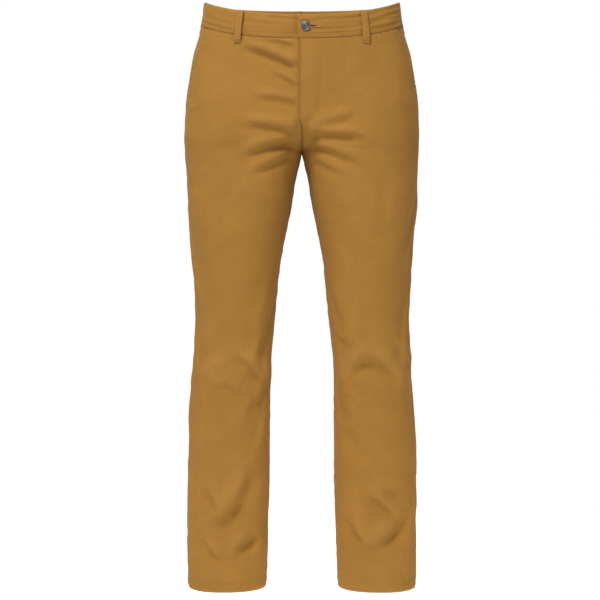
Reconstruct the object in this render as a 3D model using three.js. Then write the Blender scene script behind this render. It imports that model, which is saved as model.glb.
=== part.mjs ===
// Straight-leg cotton twill trousers, filled out as if worn.
// Millimetres. +Z is up, the front faces -Y, the wearer's left is +X.
// The origin is at the top edge of the waistband at the centre front, on the body's mid plane.
import * as THREE from 'three';
import { mergeVertices } from 'three/addons/utils/BufferGeometryUtils.js';

// ---- overall sizes ----
const WIDTH = 1.0; // scales every half width below
const RISE = 236; // centre-front waist edge down to the crotch point
const INSEAM = 796; // crotch point down to the hem
const HEM_DROP = 4; // how far the hem hangs lower at the front and back than at its sides

// ---- cloth ----
const CLOTH = 1.0; // twill panel, one layer with its finish
const GAP = 0.3; // clearance between pieces that touch
const BAND_THICK = 2.0; // waistband, twill over interlining
const LINING_THICK = 0.7;
const BAG_THICK = 0.5;

// ---- waistband ----
const BAND_HEIGHT = 41;
const SIDE_RAISE = 38; // the top edge is this much higher at the sides than at the centre front
const BACK_RAISE = 40;

// ---- fly ----
const FLY_END = 197; // depth of the bottom of the fly under the waistband's top edge
const FLY_EDGE_TOP = -8; // overlapping edge, at the waistband
const FLY_EDGE = -5; // overlapping edge, under the waistband
const FOLD_TOP = 46; // where the opened front folds at the waistband's top edge
const FOLD_END = -3; // and at the bottom of the fly
const FACING_WIDTH = 39; // of the stitched fly facing, measured from the overlapping edge
const UNDERLAP = 27; // how far the right waistband runs on behind the left

// ---- zip ----
const ZIP_X = 7;
const ZIP_Y = -85.5;
const ZIP_TOP = -47;
const ZIP_LENGTH = 136;
const TAPE_WIDTH = 13;
const TAPE_THICK = 0.6;
const TOOTH_PITCH = 3.2;
const TOOTH_THICK = 2.0;
const SLIDER_LENGTH = 10;
const PULL_LENGTH = 24;

// ---- waist button ----
const BUTTON_X = 7;
const BUTTON_DROP = 20.5;
const BUTTON_DIAMETER = 17;
const HOLE_START = 1.6; // of the buttonhole's slit
const HOLE_END = 33;
const HOLE_HEIGHT = 5;
const SHANK_RADIUS = 2.0;

// ---- belt loops ----
const LOOP_WIDTH = 14;
const LOOP_LENGTH = 58;
const LOOP_STAND = 6.0; // clear space behind a loop
const LOOP_THICK = 1.6;

// ---- pockets ----
const MOUTH_X = 169; // where the slanted mouth meets the waistband
const MOUTH_END = -161; // height at which it meets the side seam
const BAG_END = -275;
const BAG_EDGE = 96;
const POCKET_ROOM = 4.2; // between the two layers of a pocket bag
const WELT_DROP = 62; // back pocket mouth under the waistband seam
const WELT_HEIGHT = 13;

// The figure, from the waist down. Heights are from the centre-front waist edge.
// outer and inner are the half widths to the side seam and to the inseam; front and back
// are the depths from the side seams' plane.
const TRUNK = [
  { z: 45, outer: 178, inner: 0, front: 93.5, back: 95 },
  { z: 0, outer: 183.5, inner: 0, front: 95, back: 98 },
  { z: -0.27 * RISE, outer: 201, inner: 0, front: 96.5, back: 106 },
  { z: -0.585 * RISE, outer: 212, inner: 0, front: 98, back: 116 },
  { z: -0.85 * RISE, outer: 215.5, inner: 0, front: 99, back: 120 },
  { z: -RISE, outer: 214.6, inner: 0, front: 99, back: 117 },
];
const LEG = [
  { at: 0.06, outer: 211.5, inner: 10.5, front: 97.5, back: 109 },
  { at: 0.153, outer: 207, inner: 26, front: 92, back: 99 },
  { at: 0.246, outer: 200.6, inner: 39.5, front: 85.5, back: 91 },
  { at: 0.339, outer: 195, inner: 48, front: 79.5, back: 84 },
  { at: 0.4, outer: 194, inner: 52.5, front: 75, back: 78.5 },
  { at: 0.48, outer: 198, inner: 58.5, front: 71, back: 73.5 },
  { at: 0.57, outer: 204, inner: 60, front: 68, back: 70 },
  { at: 0.66, outer: 207, inner: 60.7, front: 65, back: 67 },
  { at: 0.8, outer: 208, inner: 62, front: 61, back: 63 },
  { at: 1.0, outer: 208, inner: 67, front: 57, back: 58 },
];
const STATIONS = TRUNK.concat(LEG.map((s) => ({ ...s, z: -RISE - s.at * INSEAM })));
const FORK_TOP = -RISE + 58; // the centre seams start to curve under here
const SQUARENESS = 0.88; // 1 is an ellipse; less is fuller at the corners
const INNER_SHARE = 0.42; // how much of a half panel's width lies inside the leg's middle

// ---- materials ----
const twill = new THREE.MeshStandardMaterial({ name: 'twill', color: 0xac7c3b, roughness: 0.9 });
const lining = new THREE.MeshStandardMaterial({ name: 'lining', color: 0xe6ddcb, roughness: 0.95 });
const tape = new THREE.MeshStandardMaterial({ name: 'zip_tape', color: 0xa1763a, roughness: 0.9 });
const brass = new THREE.MeshStandardMaterial({
  name: 'zip_metal', color: 0xb09050, roughness: 0.35, metalness: 1,
});
const gunmetal = new THREE.MeshStandardMaterial({
  name: 'button_metal', color: 0x77757a, roughness: 0.4, metalness: 1,
});

const object = new THREE.Group();
object.name = 'trousers';

// Smooth value of one column of the stations at height z.
function measure(key, z) {
  const s = STATIONS;
  let i = 0;
  while (i < s.length - 2 && z < s[i + 1].z) i += 1;
  const slope = (k) => {
    const a = s[Math.max(0, k - 1)];
    const b = s[Math.min(s.length - 1, k + 1)];
    return (b[key] - a[key]) / (b.z - a.z);
  };
  const span = s[i + 1].z - s[i].z;
  const t = Math.min(1.5, Math.max(-0.5, (z - s[i].z) / span));
  const t2 = t * t;
  const t3 = t2 * t;
  return (2 * t3 - 3 * t2 + 1) * s[i][key] + (t3 - 2 * t2 + t) * span * slope(i)
    + (3 * t2 - 2 * t3) * s[i + 1][key] + (t3 - t2) * span * slope(i + 1);
}

function power(value) {
  return Math.sign(value) * Math.abs(value) ** SQUARENESS;
}

function ease(t) {
  const v = Math.min(1, Math.max(0, t));
  return v * v * (3 - 2 * v);
}

// The left half's outer face at height z. u runs from the centre front or inseam (0) round
// the side seam (0.5) to the centre back or inseam (1). The waist is an oval. Towards the
// fork it fills out to the outline of two legs side by side, and there each leg closes.
function section(u, z) {
  const outer = measure('outer', z) * WIDTH;
  const inner = z > -RISE ? 0 : Math.max(0, measure('inner', z)) * WIDTH;
  const depth = measure(u < 0.5 ? 'front' : 'back', z) * (u < 0.5 ? -1 : 1);
  const v = u < 0.5 ? 2 * u : 2 - 2 * u;
  const oval = [outer * power(Math.sin(v * Math.PI / 2)), power(Math.cos(v * Math.PI / 2))];
  const middle = (outer + inner) / 2;
  const reach = (outer - inner) / 2;
  let pair;
  let leg;
  if (v > INNER_SHARE) {
    const turn = (v - INNER_SHARE) / (1 - INNER_SHARE) * Math.PI / 2;
    pair = [middle + reach * power(Math.sin(turn)), power(Math.cos(turn))];
    leg = pair;
  } else {
    const turn = v / INNER_SHARE * Math.PI / 2;
    pair = [middle * v / INNER_SHARE, 1];
    leg = [middle - reach * power(Math.cos(turn)), power(Math.sin(turn))];
  }
  const fill = ease((-z - 40) / (RISE - 50));
  const s = Math.min(1, Math.max(0, (FORK_TOP - z) / (FORK_TOP + RISE)));
  const close = 1 - Math.sqrt(1 - s * s);
  const mix = (i) => (oval[i] * (1 - fill) + pair[i] * fill) * (1 - close) + leg[i] * close;
  return new THREE.Vector3(mix(0), depth * mix(1), z);
}

// Where on the front half the face is x from the mid plane.
function frontU(x, z) {
  let low = 0;
  let high = 0.5;
  for (let i = 0; i < 40; i += 1) {
    const mid = (low + high) / 2;
    if (section(mid, z).x < x) low = mid;
    else high = mid;
  }
  return (low + high) / 2;
}

function topEdge(u) {
  if (u > 0.5) return SIDE_RAISE + (BACK_RAISE - SIDE_RAISE) * Math.sin(Math.PI * (u - 0.5));
  return SIDE_RAISE * (1 - Math.cos(Math.PI * u) ** 1.4);
}

function bandSeam(u) {
  return topEdge(u) - BAND_HEIGHT;
}

// Height of a panel's row: 0 to 1 from the waistband to the fork, 1 to 2 round the fork,
// 2 to 3 down the leg.
function rowHeight(row, u) {
  if (row <= 1) return bandSeam(u) - GAP + (FORK_TOP - bandSeam(u) + GAP) * row;
  if (row <= 2) return FORK_TOP - (FORK_TOP + RISE) * Math.sin((row - 1) * Math.PI / 2);
  const drop = INSEAM * (row - 2);
  const hang = HEM_DROP * Math.max(0, row - 2.6) / 0.4 * Math.abs(Math.sin(2 * Math.PI * u));
  return -RISE - drop - hang;
}

function outward(u, z) {
  const e = 0.002;
  const across = section(Math.min(1, u + e), z).sub(section(Math.max(0, u - e), z));
  const low = Math.max(z - 1, -RISE - INSEAM - 20);
  const down = section(u, low).sub(section(u, z + 1));
  return down.cross(across).normalize();
}

// A point under the outer face: depth is measured inwards, square to the cloth.
function under(u, z, depth) {
  const p = section(u, z);
  return depth === 0 ? p : p.addScaledVector(outward(u, z), -depth);
}

// A point at x near the centre front, either side of the mid plane.
function front(x, z, depth) {
  const p = section(frontU(Math.abs(x), z), z);
  return new THREE.Vector3(x, p.y + depth, z);
}

// A closed sheet from a grid of outer points and a matching grid of inner points.
// keep(column, row) leaves cells out, for a hole.
function closedSheet(outer, inner, keep = () => true) {
  const rows = outer.length - 1;
  const cols = outer[0].length - 1;
  const points = outer.flat().concat(inner.flat());
  const back = (rows + 1) * (cols + 1);
  const at = (c, r) => r * (cols + 1) + c;
  const kept = (c, r) => c >= 0 && r >= 0 && c < cols && r < rows && keep(c, r);
  const index = [];
  const quad = (a, b, c, d) => {
    const shortFirst = points[a].distanceTo(points[c]) <= points[b].distanceTo(points[d]);
    if (shortFirst) index.push(a, b, c, a, c, d);
    else index.push(a, b, d, b, c, d);
  };
  for (let r = 0; r < rows; r += 1) {
    for (let c = 0; c < cols; c += 1) {
      if (!kept(c, r)) continue;
      const [p, q, s, t] = [at(c, r), at(c, r + 1), at(c + 1, r + 1), at(c + 1, r)];
      quad(p, q, s, t);
      quad(p + back, t + back, s + back, q + back);
      if (!kept(c, r - 1)) quad(t, t + back, p + back, p);
      if (!kept(c, r + 1)) quad(q, q + back, s + back, s);
      if (!kept(c - 1, r)) quad(p, p + back, q + back, q);
      if (!kept(c + 1, r)) quad(s, s + back, t + back, t);
    }
  }
  const geometry = new THREE.BufferGeometry();
  geometry.setAttribute('position', new THREE.Float32BufferAttribute(
    points.flatMap((p) => [p.x, p.y, p.z]), 3));
  geometry.setIndex(index);
  return geometry;
}

function mirrored(geometry) {
  const copy = geometry.clone();
  copy.scale(-1, 1, 1);
  if (copy.index) {
    const index = Array.from(copy.index.array);
    for (let i = 0; i < index.length; i += 3) index.splice(i, 3, index[i], index[i + 2], index[i + 1]);
    copy.setIndex(index);
  }
  return copy;
}

function add(name, geometry, material) {
  if (!geometry.attributes.normal) geometry.computeVertexNormals();
  const mesh = new THREE.Mesh(geometry, material);
  mesh.name = name;
  object.add(mesh);
}

function addPair(name, geometry, material) {
  add(`${name}_left`, geometry, material);
  add(`${name}_right`, mirrored(geometry), material);
}

function steps(count, from = 0, to = 1) {
  return Array.from({ length: count + 1 }, (_, i) => from + (to - from) * i / count);
}

// Both faces of a strip of the figure's surface. place(c, r) gives [u, z, depth].
function skin(columns, rows, place, thick, keep) {
  const face = (extra) => rows.map((r) => columns.map((c) => {
    const [u, z, depth] = place(c, r);
    return under(u, z, depth + extra);
  }));
  return closedSheet(face(0), face(thick), keep);
}

// The same near the centre front, where place(c, r) gives [x, z, depth].
function frontSkin(columns, rows, place, thick, keep) {
  const face = (extra) => rows.map((r) => columns.map((c) => {
    const [x, z, depth] = place(c, r);
    return front(x, z, depth + extra);
  }));
  return closedSheet(face(0), face(thick), keep);
}

// ---- leg panels ----
// Panels keep half a gap from every seam line, and their edges lie square to it.
function legPanel(fromU, toU, rows, columns, keep = () => true, sink = () => 0) {
  const outer = [];
  const inner = [];
  for (const row of rows) {
    const start = fromU(row);
    const end = toU(row);
    const us = columns.map((c) => start + (end - start) * c);
    const line = us.map((u) => section(u, rowHeight(row, u)));
    const normals = us.map((u) => outward(
      Math.min(0.985, Math.max(0.015, u)),
      Math.abs(rowHeight(row, u) + RISE) < 3 ? -RISE + 3 : rowHeight(row, u),
    ));
    us.forEach((u, i) => {
      const normal = normals[i];
      const onCentre = (u < 1e-6 || u > 1 - 1e-6);
      if (onCentre && row < 2) normal.x = 0;
      if (onCentre && row >= 2) normal.set(-1, 0, 0);
      if (Math.abs(u - 0.5) < 1e-6) normal.y = 0;
      normal.normalize();
    });
    const last = line.length - 1;
    const pulled = line.map((p) => p.clone());
    const pull = (i, next) => pulled[i].addScaledVector(
      line[next].clone().sub(line[i]).normalize(), GAP / 2);
    pull(0, 1);
    pull(last, last - 1);
    pulled.forEach((p) => { p.y += sink(p.x, p.z); });
    outer.push(pulled.map((p) => new THREE.Vector3(Math.max(GAP / 2, p.x), p.y, p.z)));
    inner.push(pulled.map((p, i) => {
      const q = p.clone().addScaledVector(normals[i], -CLOTH);
      return new THREE.Vector3(Math.max(GAP / 2, q.x), q.y, q.z);
    }));
  }
  return closedSheet(outer, inner, keep);
}

const TRUNK_ROWS = steps(7, 0, 1);
const FORK_ROWS = steps(6, 1, 2).slice(1);
const LEG_ROWS = [2.02, 2.045, 2.08].concat(steps(10, 2.13, 3));
const PANEL_ROWS = [...TRUNK_ROWS, ...FORK_ROWS, ...LEG_ROWS];

// The slanted pocket mouth cuts the front panel's upper corner away.
function mouthU(z) {
  const top = frontU(MOUTH_X * WIDTH, bandSeam(0.4));
  const reach = (bandSeam(top) - z) / (bandSeam(top) - MOUTH_END);
  return Math.min(0.5, top + (0.5 - top) * Math.max(0, reach));
}

function foldX(z) {
  return FOLD_TOP + (FOLD_END - FOLD_TOP) * (-z / FLY_END);
}

const frontEdge = (row) => mouthU(rowHeight(row, 0.4));
const foldEdge = (row) => {
  const z = rowHeight(row, 0);
  return z > -FLY_END ? frontU(Math.max(0, foldX(z) + GAP), z) : 0;
};
const across = steps(14);
const rightAcross = [0, 0.016, 0.031, ...across.slice(1)];
// Under the overlapping edge the right panel lies one layer deeper.
const underFly = (x, z) => (CLOTH + LINING_THICK + 4 * GAP)
  * ease((14 - x) / 6) * ease((z + FLY_END + 18) / 18);
add('front_panel_right', mirrored(
  legPanel(() => 0, frontEdge, PANEL_ROWS, rightAcross, () => true, underFly)), twill);
add('front_panel_left', legPanel(foldEdge, frontEdge, PANEL_ROWS, across), twill);

// The back panel is slit for the pocket mouth.
const slitRow = (WELT_DROP - GAP) / (bandSeam(0.75) - FORK_TOP);
const slitRows = [slitRow - 0.006, slitRow + 0.006];
const backRows = [...TRUNK_ROWS.filter((r) => Math.abs(r - slitRow) > 0.06), ...slitRows,
  ...FORK_ROWS, ...LEG_ROWS].sort((a, b) => a - b);
const slitIndex = backRows.indexOf(slitRows[0]);
const backAcross = steps(15);
addPair('back_panel', legPanel(() => 0.5, () => 1, backRows, backAcross,
  (c, r) => !(r === slitIndex && c >= 5 && c < 10)), twill);

// ---- waistband ----
const bandRows = steps(3);
function bandStrip(startU, depth, thick, columns, keep) {
  return skin(columns, bandRows, (c, r) => {
    const start = startU(r);
    const u = start + (0.9995 - start) * c;
    return [u, topEdge(u) - BAND_HEIGHT * r, depth];
  }, thick, keep);
}
const foldStart = (r) => frontU(foldX(-BAND_HEIGHT * r) + GAP, -BAND_HEIGHT * r);
add('waistband_left', bandStrip(foldStart, 0, BAND_THICK, steps(22)), twill);
const RIGHT_START = 15; // the right waistband dips behind the left from here
const rightStart = (r) => frontU(RIGHT_START, -BAND_HEIGHT * r);
add('waistband_right', mirrored(bandStrip(rightStart, 0, BAND_THICK, steps(22))), twill);
addPair('waistband_lining', bandStrip(
  () => frontU(FOLD_TOP + 6, 0), BAND_THICK + 3 * GAP, LINING_THICK, steps(22)), lining);

// The buttoned end of the left waistband, with its buttonhole.
const holeTop = (BUTTON_DROP - HOLE_HEIGHT / 2) / BAND_HEIGHT;
const holeFoot = (BUTTON_DROP + HOLE_HEIGHT / 2) / BAND_HEIGHT;
const tabColumns = [0, 1, 2, 3, 4, 5, 6];
const tabX = (c, r) => {
  const edge = FLY_EDGE_TOP + (FLY_EDGE - FLY_EDGE_TOP) * r;
  const end = foldX(-BAND_HEIGHT * r);
  const length = HOLE_END - HOLE_START;
  const stops = [edge, (edge + HOLE_START) / 2, HOLE_START, HOLE_START + length / 3,
    HOLE_START + 2 * length / 3, HOLE_END, end];
  return stops[c];
};
const bandDrop = (x, r) => topEdge(frontU(Math.abs(x), 0)) - BAND_HEIGHT * r;
add('waistband_tab', frontSkin(tabColumns, [0, holeTop, holeFoot, 1], (c, r) => {
  const x = tabX(c, r);
  return [x, bandDrop(x, r), 0];
}, BAND_THICK, (c, r) => !(r === 1 && c >= 2 && c < 5)), twill);

// The right waistband's end runs on behind it and carries the button.
const lapDepth = BAND_THICK + 2 * GAP;
const studTop = (BUTTON_DROP - SHANK_RADIUS - GAP) / BAND_HEIGHT;
const studFoot = (BUTTON_DROP + SHANK_RADIUS + GAP) / BAND_HEIGHT;
const lapX = [GAP - RIGHT_START, FLY_EDGE_TOP - 2, -2, BUTTON_X - SHANK_RADIUS - GAP,
  BUTTON_X + SHANK_RADIUS + GAP, (BUTTON_X + UNDERLAP) / 2, UNDERLAP];
add('waistband_underlap', frontSkin([0, 1, 2, 3, 4, 5, 6], [0, studTop, studFoot, 1], (c, r) => {
  const x = lapX[c];
  const depth = lapDepth * Math.min(1, (x + RIGHT_START) / (FLY_EDGE_TOP - 2 + RIGHT_START));
  return [x, bandDrop(x, r), Math.max(0, depth)];
}, BAND_THICK, (c, r) => !(r === 1 && c === 3)), twill);

// ---- fly ----
const flyRows = steps(10);
const flyTop = -BAND_HEIGHT - GAP;
const flyFoot = -FLY_END + 6;
const flyZ = (r) => flyTop + (flyFoot - flyTop) * r;
function flyEdge(z) {
  const close = Math.max(0, (-z - FLY_END + 50) / 50);
  return FLY_EDGE * (1 - 0.3 * close * close);
}
add('fly_flap', frontSkin(steps(4), flyRows, (c, r) => {
  const z = flyZ(r);
  return [flyEdge(z) + (foldX(z) - flyEdge(z)) * c, z, 0];
}, CLOTH), twill);

// The facing's free edge runs straight down, then curves in to the bottom of the fly.
function facingEdge(z) {
  const turn = -FLY_END + 45;
  if (z > turn) return FLY_EDGE + FACING_WIDTH;
  const t = Math.min(1, (turn - z) / 45);
  return FLY_EDGE + 3 + (FACING_WIDTH - 3) * Math.sqrt(Math.max(0.03, 1 - t * t));
}
add('fly_facing', frontSkin(steps(4), flyRows, (c, r) => {
  const z = flyTop + (FORK_TOP + 1 - flyTop) * r;
  const start = flyEdge(z) + 1;
  return [start + (facingEdge(z) - start) * c, z, CLOTH + 2 * GAP];
}, LINING_THICK), twill);
const shieldY = ZIP_Y + 6;
const shield = new THREE.BoxGeometry(38, CLOTH, ZIP_LENGTH + 4);
shield.translate(10, shieldY, ZIP_TOP - ZIP_LENGTH / 2);
add('fly_shield', shield, twill);

// ---- zip ----
function placed(geometry, x, y, z) {
  geometry.translate(x, y, z);
  return geometry;
}
const chainHalf = 2.6; // from the zip's middle to the tape's edge
for (const [side, sign] of [['left', 1], ['right', -1]]) {
  const centre = ZIP_X + sign * (chainHalf + GAP + TAPE_WIDTH / 2);
  add(`zip_tape_${side}`, placed(
    new THREE.BoxGeometry(TAPE_WIDTH, TAPE_THICK, ZIP_LENGTH),
    centre, ZIP_Y, ZIP_TOP - ZIP_LENGTH / 2), tape);

  // A comb: the cord the teeth are clamped to, with the teeth standing in to the middle.
  const count = Math.floor((ZIP_LENGTH - 14) / TOOTH_PITCH);
  const first = ZIP_TOP - 5 - (sign > 0 ? 0 : TOOTH_PITCH / 2);
  const outline = new THREE.Shape();
  const cord = chainHalf;
  const root = chainHalf - 1.1;
  const tip = -0.9;
  outline.moveTo(cord, first + 0.5);
  outline.lineTo(root, first + 0.5);
  for (let i = 0; i < count; i += 1) {
    const top = first - i * TOOTH_PITCH;
    outline.lineTo(root, top);
    outline.lineTo(tip, top - 0.15);
    outline.lineTo(tip, top - 1.0);
    outline.lineTo(root, top - 1.15);
  }
  const foot = first - (count - 1) * TOOTH_PITCH - 1.7;
  outline.lineTo(root, foot);
  outline.lineTo(cord, foot);
  const comb = new THREE.ExtrudeGeometry(outline, { depth: TOOTH_THICK, bevelEnabled: false });
  comb.rotateX(Math.PI / 2);
  comb.deleteAttribute('normal');
  comb.deleteAttribute('uv');
  const joined = mergeVertices(comb);
  const row = sign > 0 ? joined : mirrored(joined);
  row.translate(ZIP_X, ZIP_Y + TOOTH_THICK / 2, 0);
  add(`zip_teeth_${side}`, row, brass);
  add(`zip_top_stop_${side}`, placed(new THREE.BoxGeometry(1.8, 2.4, 2.6),
    ZIP_X + sign * 2.0, ZIP_Y, ZIP_TOP - 1.5), brass);
}
const chainFoot = ZIP_TOP - ZIP_LENGTH + 6.5;
add('zip_bottom_stop', placed(new THREE.BoxGeometry(5, 2.6, 3), ZIP_X, ZIP_Y, chainFoot), brass);

// The slider: two plates joined by the wedge that parts the rows, with a bridge for the pull.
const sliderTop = ZIP_TOP - 3.4;
const plate = 1.0;
const room = TOOTH_THICK / 2 + GAP;
const side = new THREE.Shape();
side.moveTo(-room - plate, 0);
side.lineTo(-room - plate - 1.9, -1.2);
side.lineTo(-room - plate - 1.9, -SLIDER_LENGTH * 0.62);
side.lineTo(-room - plate, -SLIDER_LENGTH * 0.72);
side.lineTo(-room - plate, -SLIDER_LENGTH);
side.lineTo(-room, -SLIDER_LENGTH);
side.lineTo(-room, -0.9);
side.lineTo(room, -0.9);
side.lineTo(room, -SLIDER_LENGTH);
side.lineTo(room + plate, -SLIDER_LENGTH);
side.lineTo(room + plate, 0);
const eye = new THREE.Path();
const eyeY = -room - plate - 0.75;
eye.moveTo(eyeY - 0.65, -2.3);
eye.lineTo(eyeY + 0.65, -2.3);
eye.lineTo(eyeY + 0.65, -5.3);
eye.lineTo(eyeY - 0.65, -5.3);
eye.closePath();
side.holes.push(eye);
// The shape lies in the plane of depth and height; it is extruded across the zip.
function acrossZip(shape, width, x) {
  const solid = new THREE.ExtrudeGeometry(shape, { depth: width, bevelEnabled: false });
  const turn = new THREE.Matrix4().makeBasis(
    new THREE.Vector3(0, 1, 0), new THREE.Vector3(0, 0, 1), new THREE.Vector3(1, 0, 0));
  solid.applyMatrix4(turn);
  return placed(solid, x - width / 2, 0, 0);
}
add('zip_slider', placed(acrossZip(side, 2 * chainHalf, ZIP_X), 0, ZIP_Y, sliderTop), brass);

// The pull: a flat tag whose top bar passes through the slider's eye.
const pullBar = new THREE.Shape();
const pullWide = 3.9;
pullBar.moveTo(-pullWide, 1.5);
pullBar.lineTo(-pullWide, -PULL_LENGTH + 3);
pullBar.lineTo(-pullWide + 2, -PULL_LENGTH);
pullBar.lineTo(pullWide - 2, -PULL_LENGTH);
pullBar.lineTo(pullWide, -PULL_LENGTH + 3);
pullBar.lineTo(pullWide, 1.5);
const pullGap = new THREE.Path();
pullGap.moveTo(-pullWide + 0.4, 0.4);
pullGap.lineTo(pullWide - 0.4, 0.4);
pullGap.lineTo(pullWide - 0.4, -7.5);
pullGap.lineTo(-pullWide + 0.4, -7.5);
pullGap.closePath();
pullBar.holes.push(pullGap);
const pull = new THREE.ExtrudeGeometry(pullBar, { depth: 0.7, bevelEnabled: false });
pull.rotateX(Math.PI / 2);
const pivotZ = sliderTop - 4.6;
const pivotY = ZIP_Y + eyeY;
add('zip_pull', placed(pull, ZIP_X, pivotY + 0.35, pivotZ), brass);

// ---- waist button ----
const tabFace = front(BUTTON_X, -BUTTON_DROP, 0).y;
function turned(profile, segments) {
  const points = profile.map(([r, h]) => new THREE.Vector2(r, h));
  const solid = new THREE.LatheGeometry(points, segments);
  solid.rotateZ(Math.PI);
  return solid;
}
const R = BUTTON_DIAMETER / 2;
// Heights grow towards the front of the garment once turned.
const head = turned([
  [0, GAP], [R - 1.2, GAP], [R - 0.3, 0.7], [R, 1.5], [R - 0.5, 2.4], [R - 1.6, 2.8],
  [R - 2.2, 2.4], [R * 0.45, 2.5], [R * 0.3, 3.0], [0, 3.2],
], 32);
add('waist_button_head', placed(head, BUTTON_X, tabFace, -BUTTON_DROP), gunmetal);
const studFootAt = -lapDepth - BAND_THICK - GAP;
const stud = turned([
  [0, studFootAt - 1.1], [5, studFootAt - 0.9], [5, studFootAt],
  [SHANK_RADIUS, studFootAt], [SHANK_RADIUS, 0], [0, 0],
], 24);
add('waist_button_tack', placed(stud, BUTTON_X, tabFace, -BUTTON_DROP), gunmetal);

// ---- belt loops ----
function loop(u, lean) {
  const top = topEdge(u) - 0.6;
  const centre = section(u, top - LOOP_LENGTH / 2);
  const normal = outward(u, top - LOOP_LENGTH / 2);
  normal.z = 0;
  normal.normalize();
  const sideways = new THREE.Vector3(-normal.y, normal.x, 0);
  const face = (extra) => steps(12).map((t) => [-0.5, 0, 0.5].map((c) => {
    const z = top - LOOP_LENGTH * t;
    const ends = Math.min(1, t / 0.14, (1 - t) / 0.16);
    const stand = GAP + LOOP_STAND * Math.sin(ends * Math.PI / 2) ** 1.2;
    const p = section(u, z);
    // Follow the figure's slope, but keep the strip flat across.
    const reach = p.clone().sub(centre).dot(normal);
    return centre.clone()
      .addScaledVector(normal, reach + stand + extra)
      .addScaledVector(sideways, c * LOOP_WIDTH + lean * t)
      .setZ(z);
  }));
  return closedSheet(face(LOOP_THICK), face(0));
}
const LOOPS = [
  ['belt_loop_front', frontU(107 * WIDTH, 0), 5],
  ['belt_loop_side', 0.506, 0],
  ['belt_loop_back', 0.76, 0],
];
for (const [name, u, lean] of LOOPS) {
  addPair(name, loop(u, lean), twill);
}
add('belt_loop_centre_back', loop(1, 0), twill);

// ---- front pockets ----
const mouthRows = steps(8);
const facingDepth = CLOTH + 4.6;
addPair('pocket_facing', skin(steps(6), mouthRows, (c, r) => {
  const z = -GAP + bandSeam(0.42) + (MOUTH_END + 18 - bandSeam(0.42)) * r;
  const edge = mouthU(z);
  const u = edge - 0.05 + (0.4985 - edge + 0.05) * c;
  const rise = Math.min(1, Math.max(0, (u - edge) / Math.max(0.006, 0.5 - edge)));
  const sunk = edge > 0.48 ? 1 : 1 - rise ** 1.5;
  return [u, Math.min(z, bandSeam(u) - GAP), facingDepth * sunk];
}, LINING_THICK), twill);

// A bag is one folded layer: in from the mouth, round its inner edge and back behind.
const bagColumns = steps(14);
function bagPlace(c, r) {
  const drop = (u) => bandSeam(u) - 1.5 + (BAG_END - bandSeam(u) + 1.5) * r;
  const z = drop(0.4);
  const open = z > MOUTH_END ? mouthU(z) - 0.006 : 0.492;
  const fold = frontU(BAG_EDGE, z);
  const near = CLOTH + 2.6;
  const far = near + POCKET_ROOM * Math.min(1, 1.25 - r) + BAG_THICK;
  if (c < 0.45) {
    const u = open + (fold + 0.012 - open) * (c / 0.45);
    return [u, drop(u), near];
  }
  if (c > 0.55) {
    const t = (c - 0.55) / 0.45;
    const u = fold + 0.012 + (0.486 - fold - 0.012) * t;
    const close = z > MOUTH_END ? 1 : 1 - 0.55 * t ** 6;
    return [u, drop(u), near + (far - near) * close];
  }
  const turn = (c - 0.45) / 0.1 * Math.PI;
  const mid = (near + far) / 2;
  const u = fold + 0.012 - 0.008 * Math.sin(turn);
  return [u, drop(u), mid - (far - near) / 2 * Math.cos(turn)];
}
function bag() {
  const rows = steps(9);
  const middle = rows.map((r) => bagColumns.map((c) => under(...bagPlace(c, r))));
  const face = (sign) => middle.map((line) => line.map((p, i) => {
    const a = line[Math.max(0, i - 1)];
    const b = line[Math.min(line.length - 1, i + 1)];
    const along = b.clone().sub(a).normalize();
    const square = new THREE.Vector3(along.y, -along.x, 0).normalize();
    return p.clone().addScaledVector(square, sign * BAG_THICK / 2);
  }));
  return closedSheet(face(1), face(-1));
}
addPair('pocket_bag', bag(), lining);

// ---- back pockets ----
const weltFrom = 0.5 + 0.5 * 5 / 15;
const weltTo = 0.5 + 0.5 * 10 / 15;
const slitZ = (u) => rowHeight(slitRow, u);
const weltColumns = [0, 0.04, ...steps(5, 0.22, 0.78), 0.96, 1];
addPair('back_pocket_welt', skin(weltColumns, [0, 0.42, 0.58, 1], (c, r) => {
  const u = weltFrom - 0.004 + (weltTo - weltFrom + 0.008) * c;
  return [u, slitZ(u) + WELT_HEIGHT * (0.5 - r), -CLOTH - 2 * GAP];
}, CLOTH - GAP, (c, r) => !(r === 1 && c >= 1 && c < 7)), twill);
addPair('back_pocket_bag', skin(steps(8), steps(7), (c, r) => {
  const u = weltFrom - 0.006 + (weltTo - weltFrom + 0.012) * c;
  return [u, bandSeam(u) - 6 - 172 * r, CLOTH + 2 * GAP];
}, BAG_THICK), lining);

export default object;
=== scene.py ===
import math

import bpy
import numpy as np
from bpy.props import FloatProperty, FloatVectorProperty, PointerProperty
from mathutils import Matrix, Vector


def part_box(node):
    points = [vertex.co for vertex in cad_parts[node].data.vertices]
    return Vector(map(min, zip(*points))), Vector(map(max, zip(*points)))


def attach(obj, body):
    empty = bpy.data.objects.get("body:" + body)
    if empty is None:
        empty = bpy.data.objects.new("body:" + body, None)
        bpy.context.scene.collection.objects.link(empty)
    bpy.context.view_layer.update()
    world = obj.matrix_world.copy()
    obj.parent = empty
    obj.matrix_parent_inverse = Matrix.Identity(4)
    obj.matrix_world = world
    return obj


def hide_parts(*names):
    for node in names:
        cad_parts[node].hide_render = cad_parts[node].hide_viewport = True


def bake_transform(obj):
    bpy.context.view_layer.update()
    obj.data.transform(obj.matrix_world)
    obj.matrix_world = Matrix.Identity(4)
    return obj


bl_info = {
    "name": "Cotton twill trousers",
    "version": (1, 0, 0),
    "blender": (4, 5, 0),
    "location": "3D View > Sidebar > Trousers",
    "description": "Builds straight-leg twill trousers, piece by piece, and a studio to show them in",
    "category": "Object",
}

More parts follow.
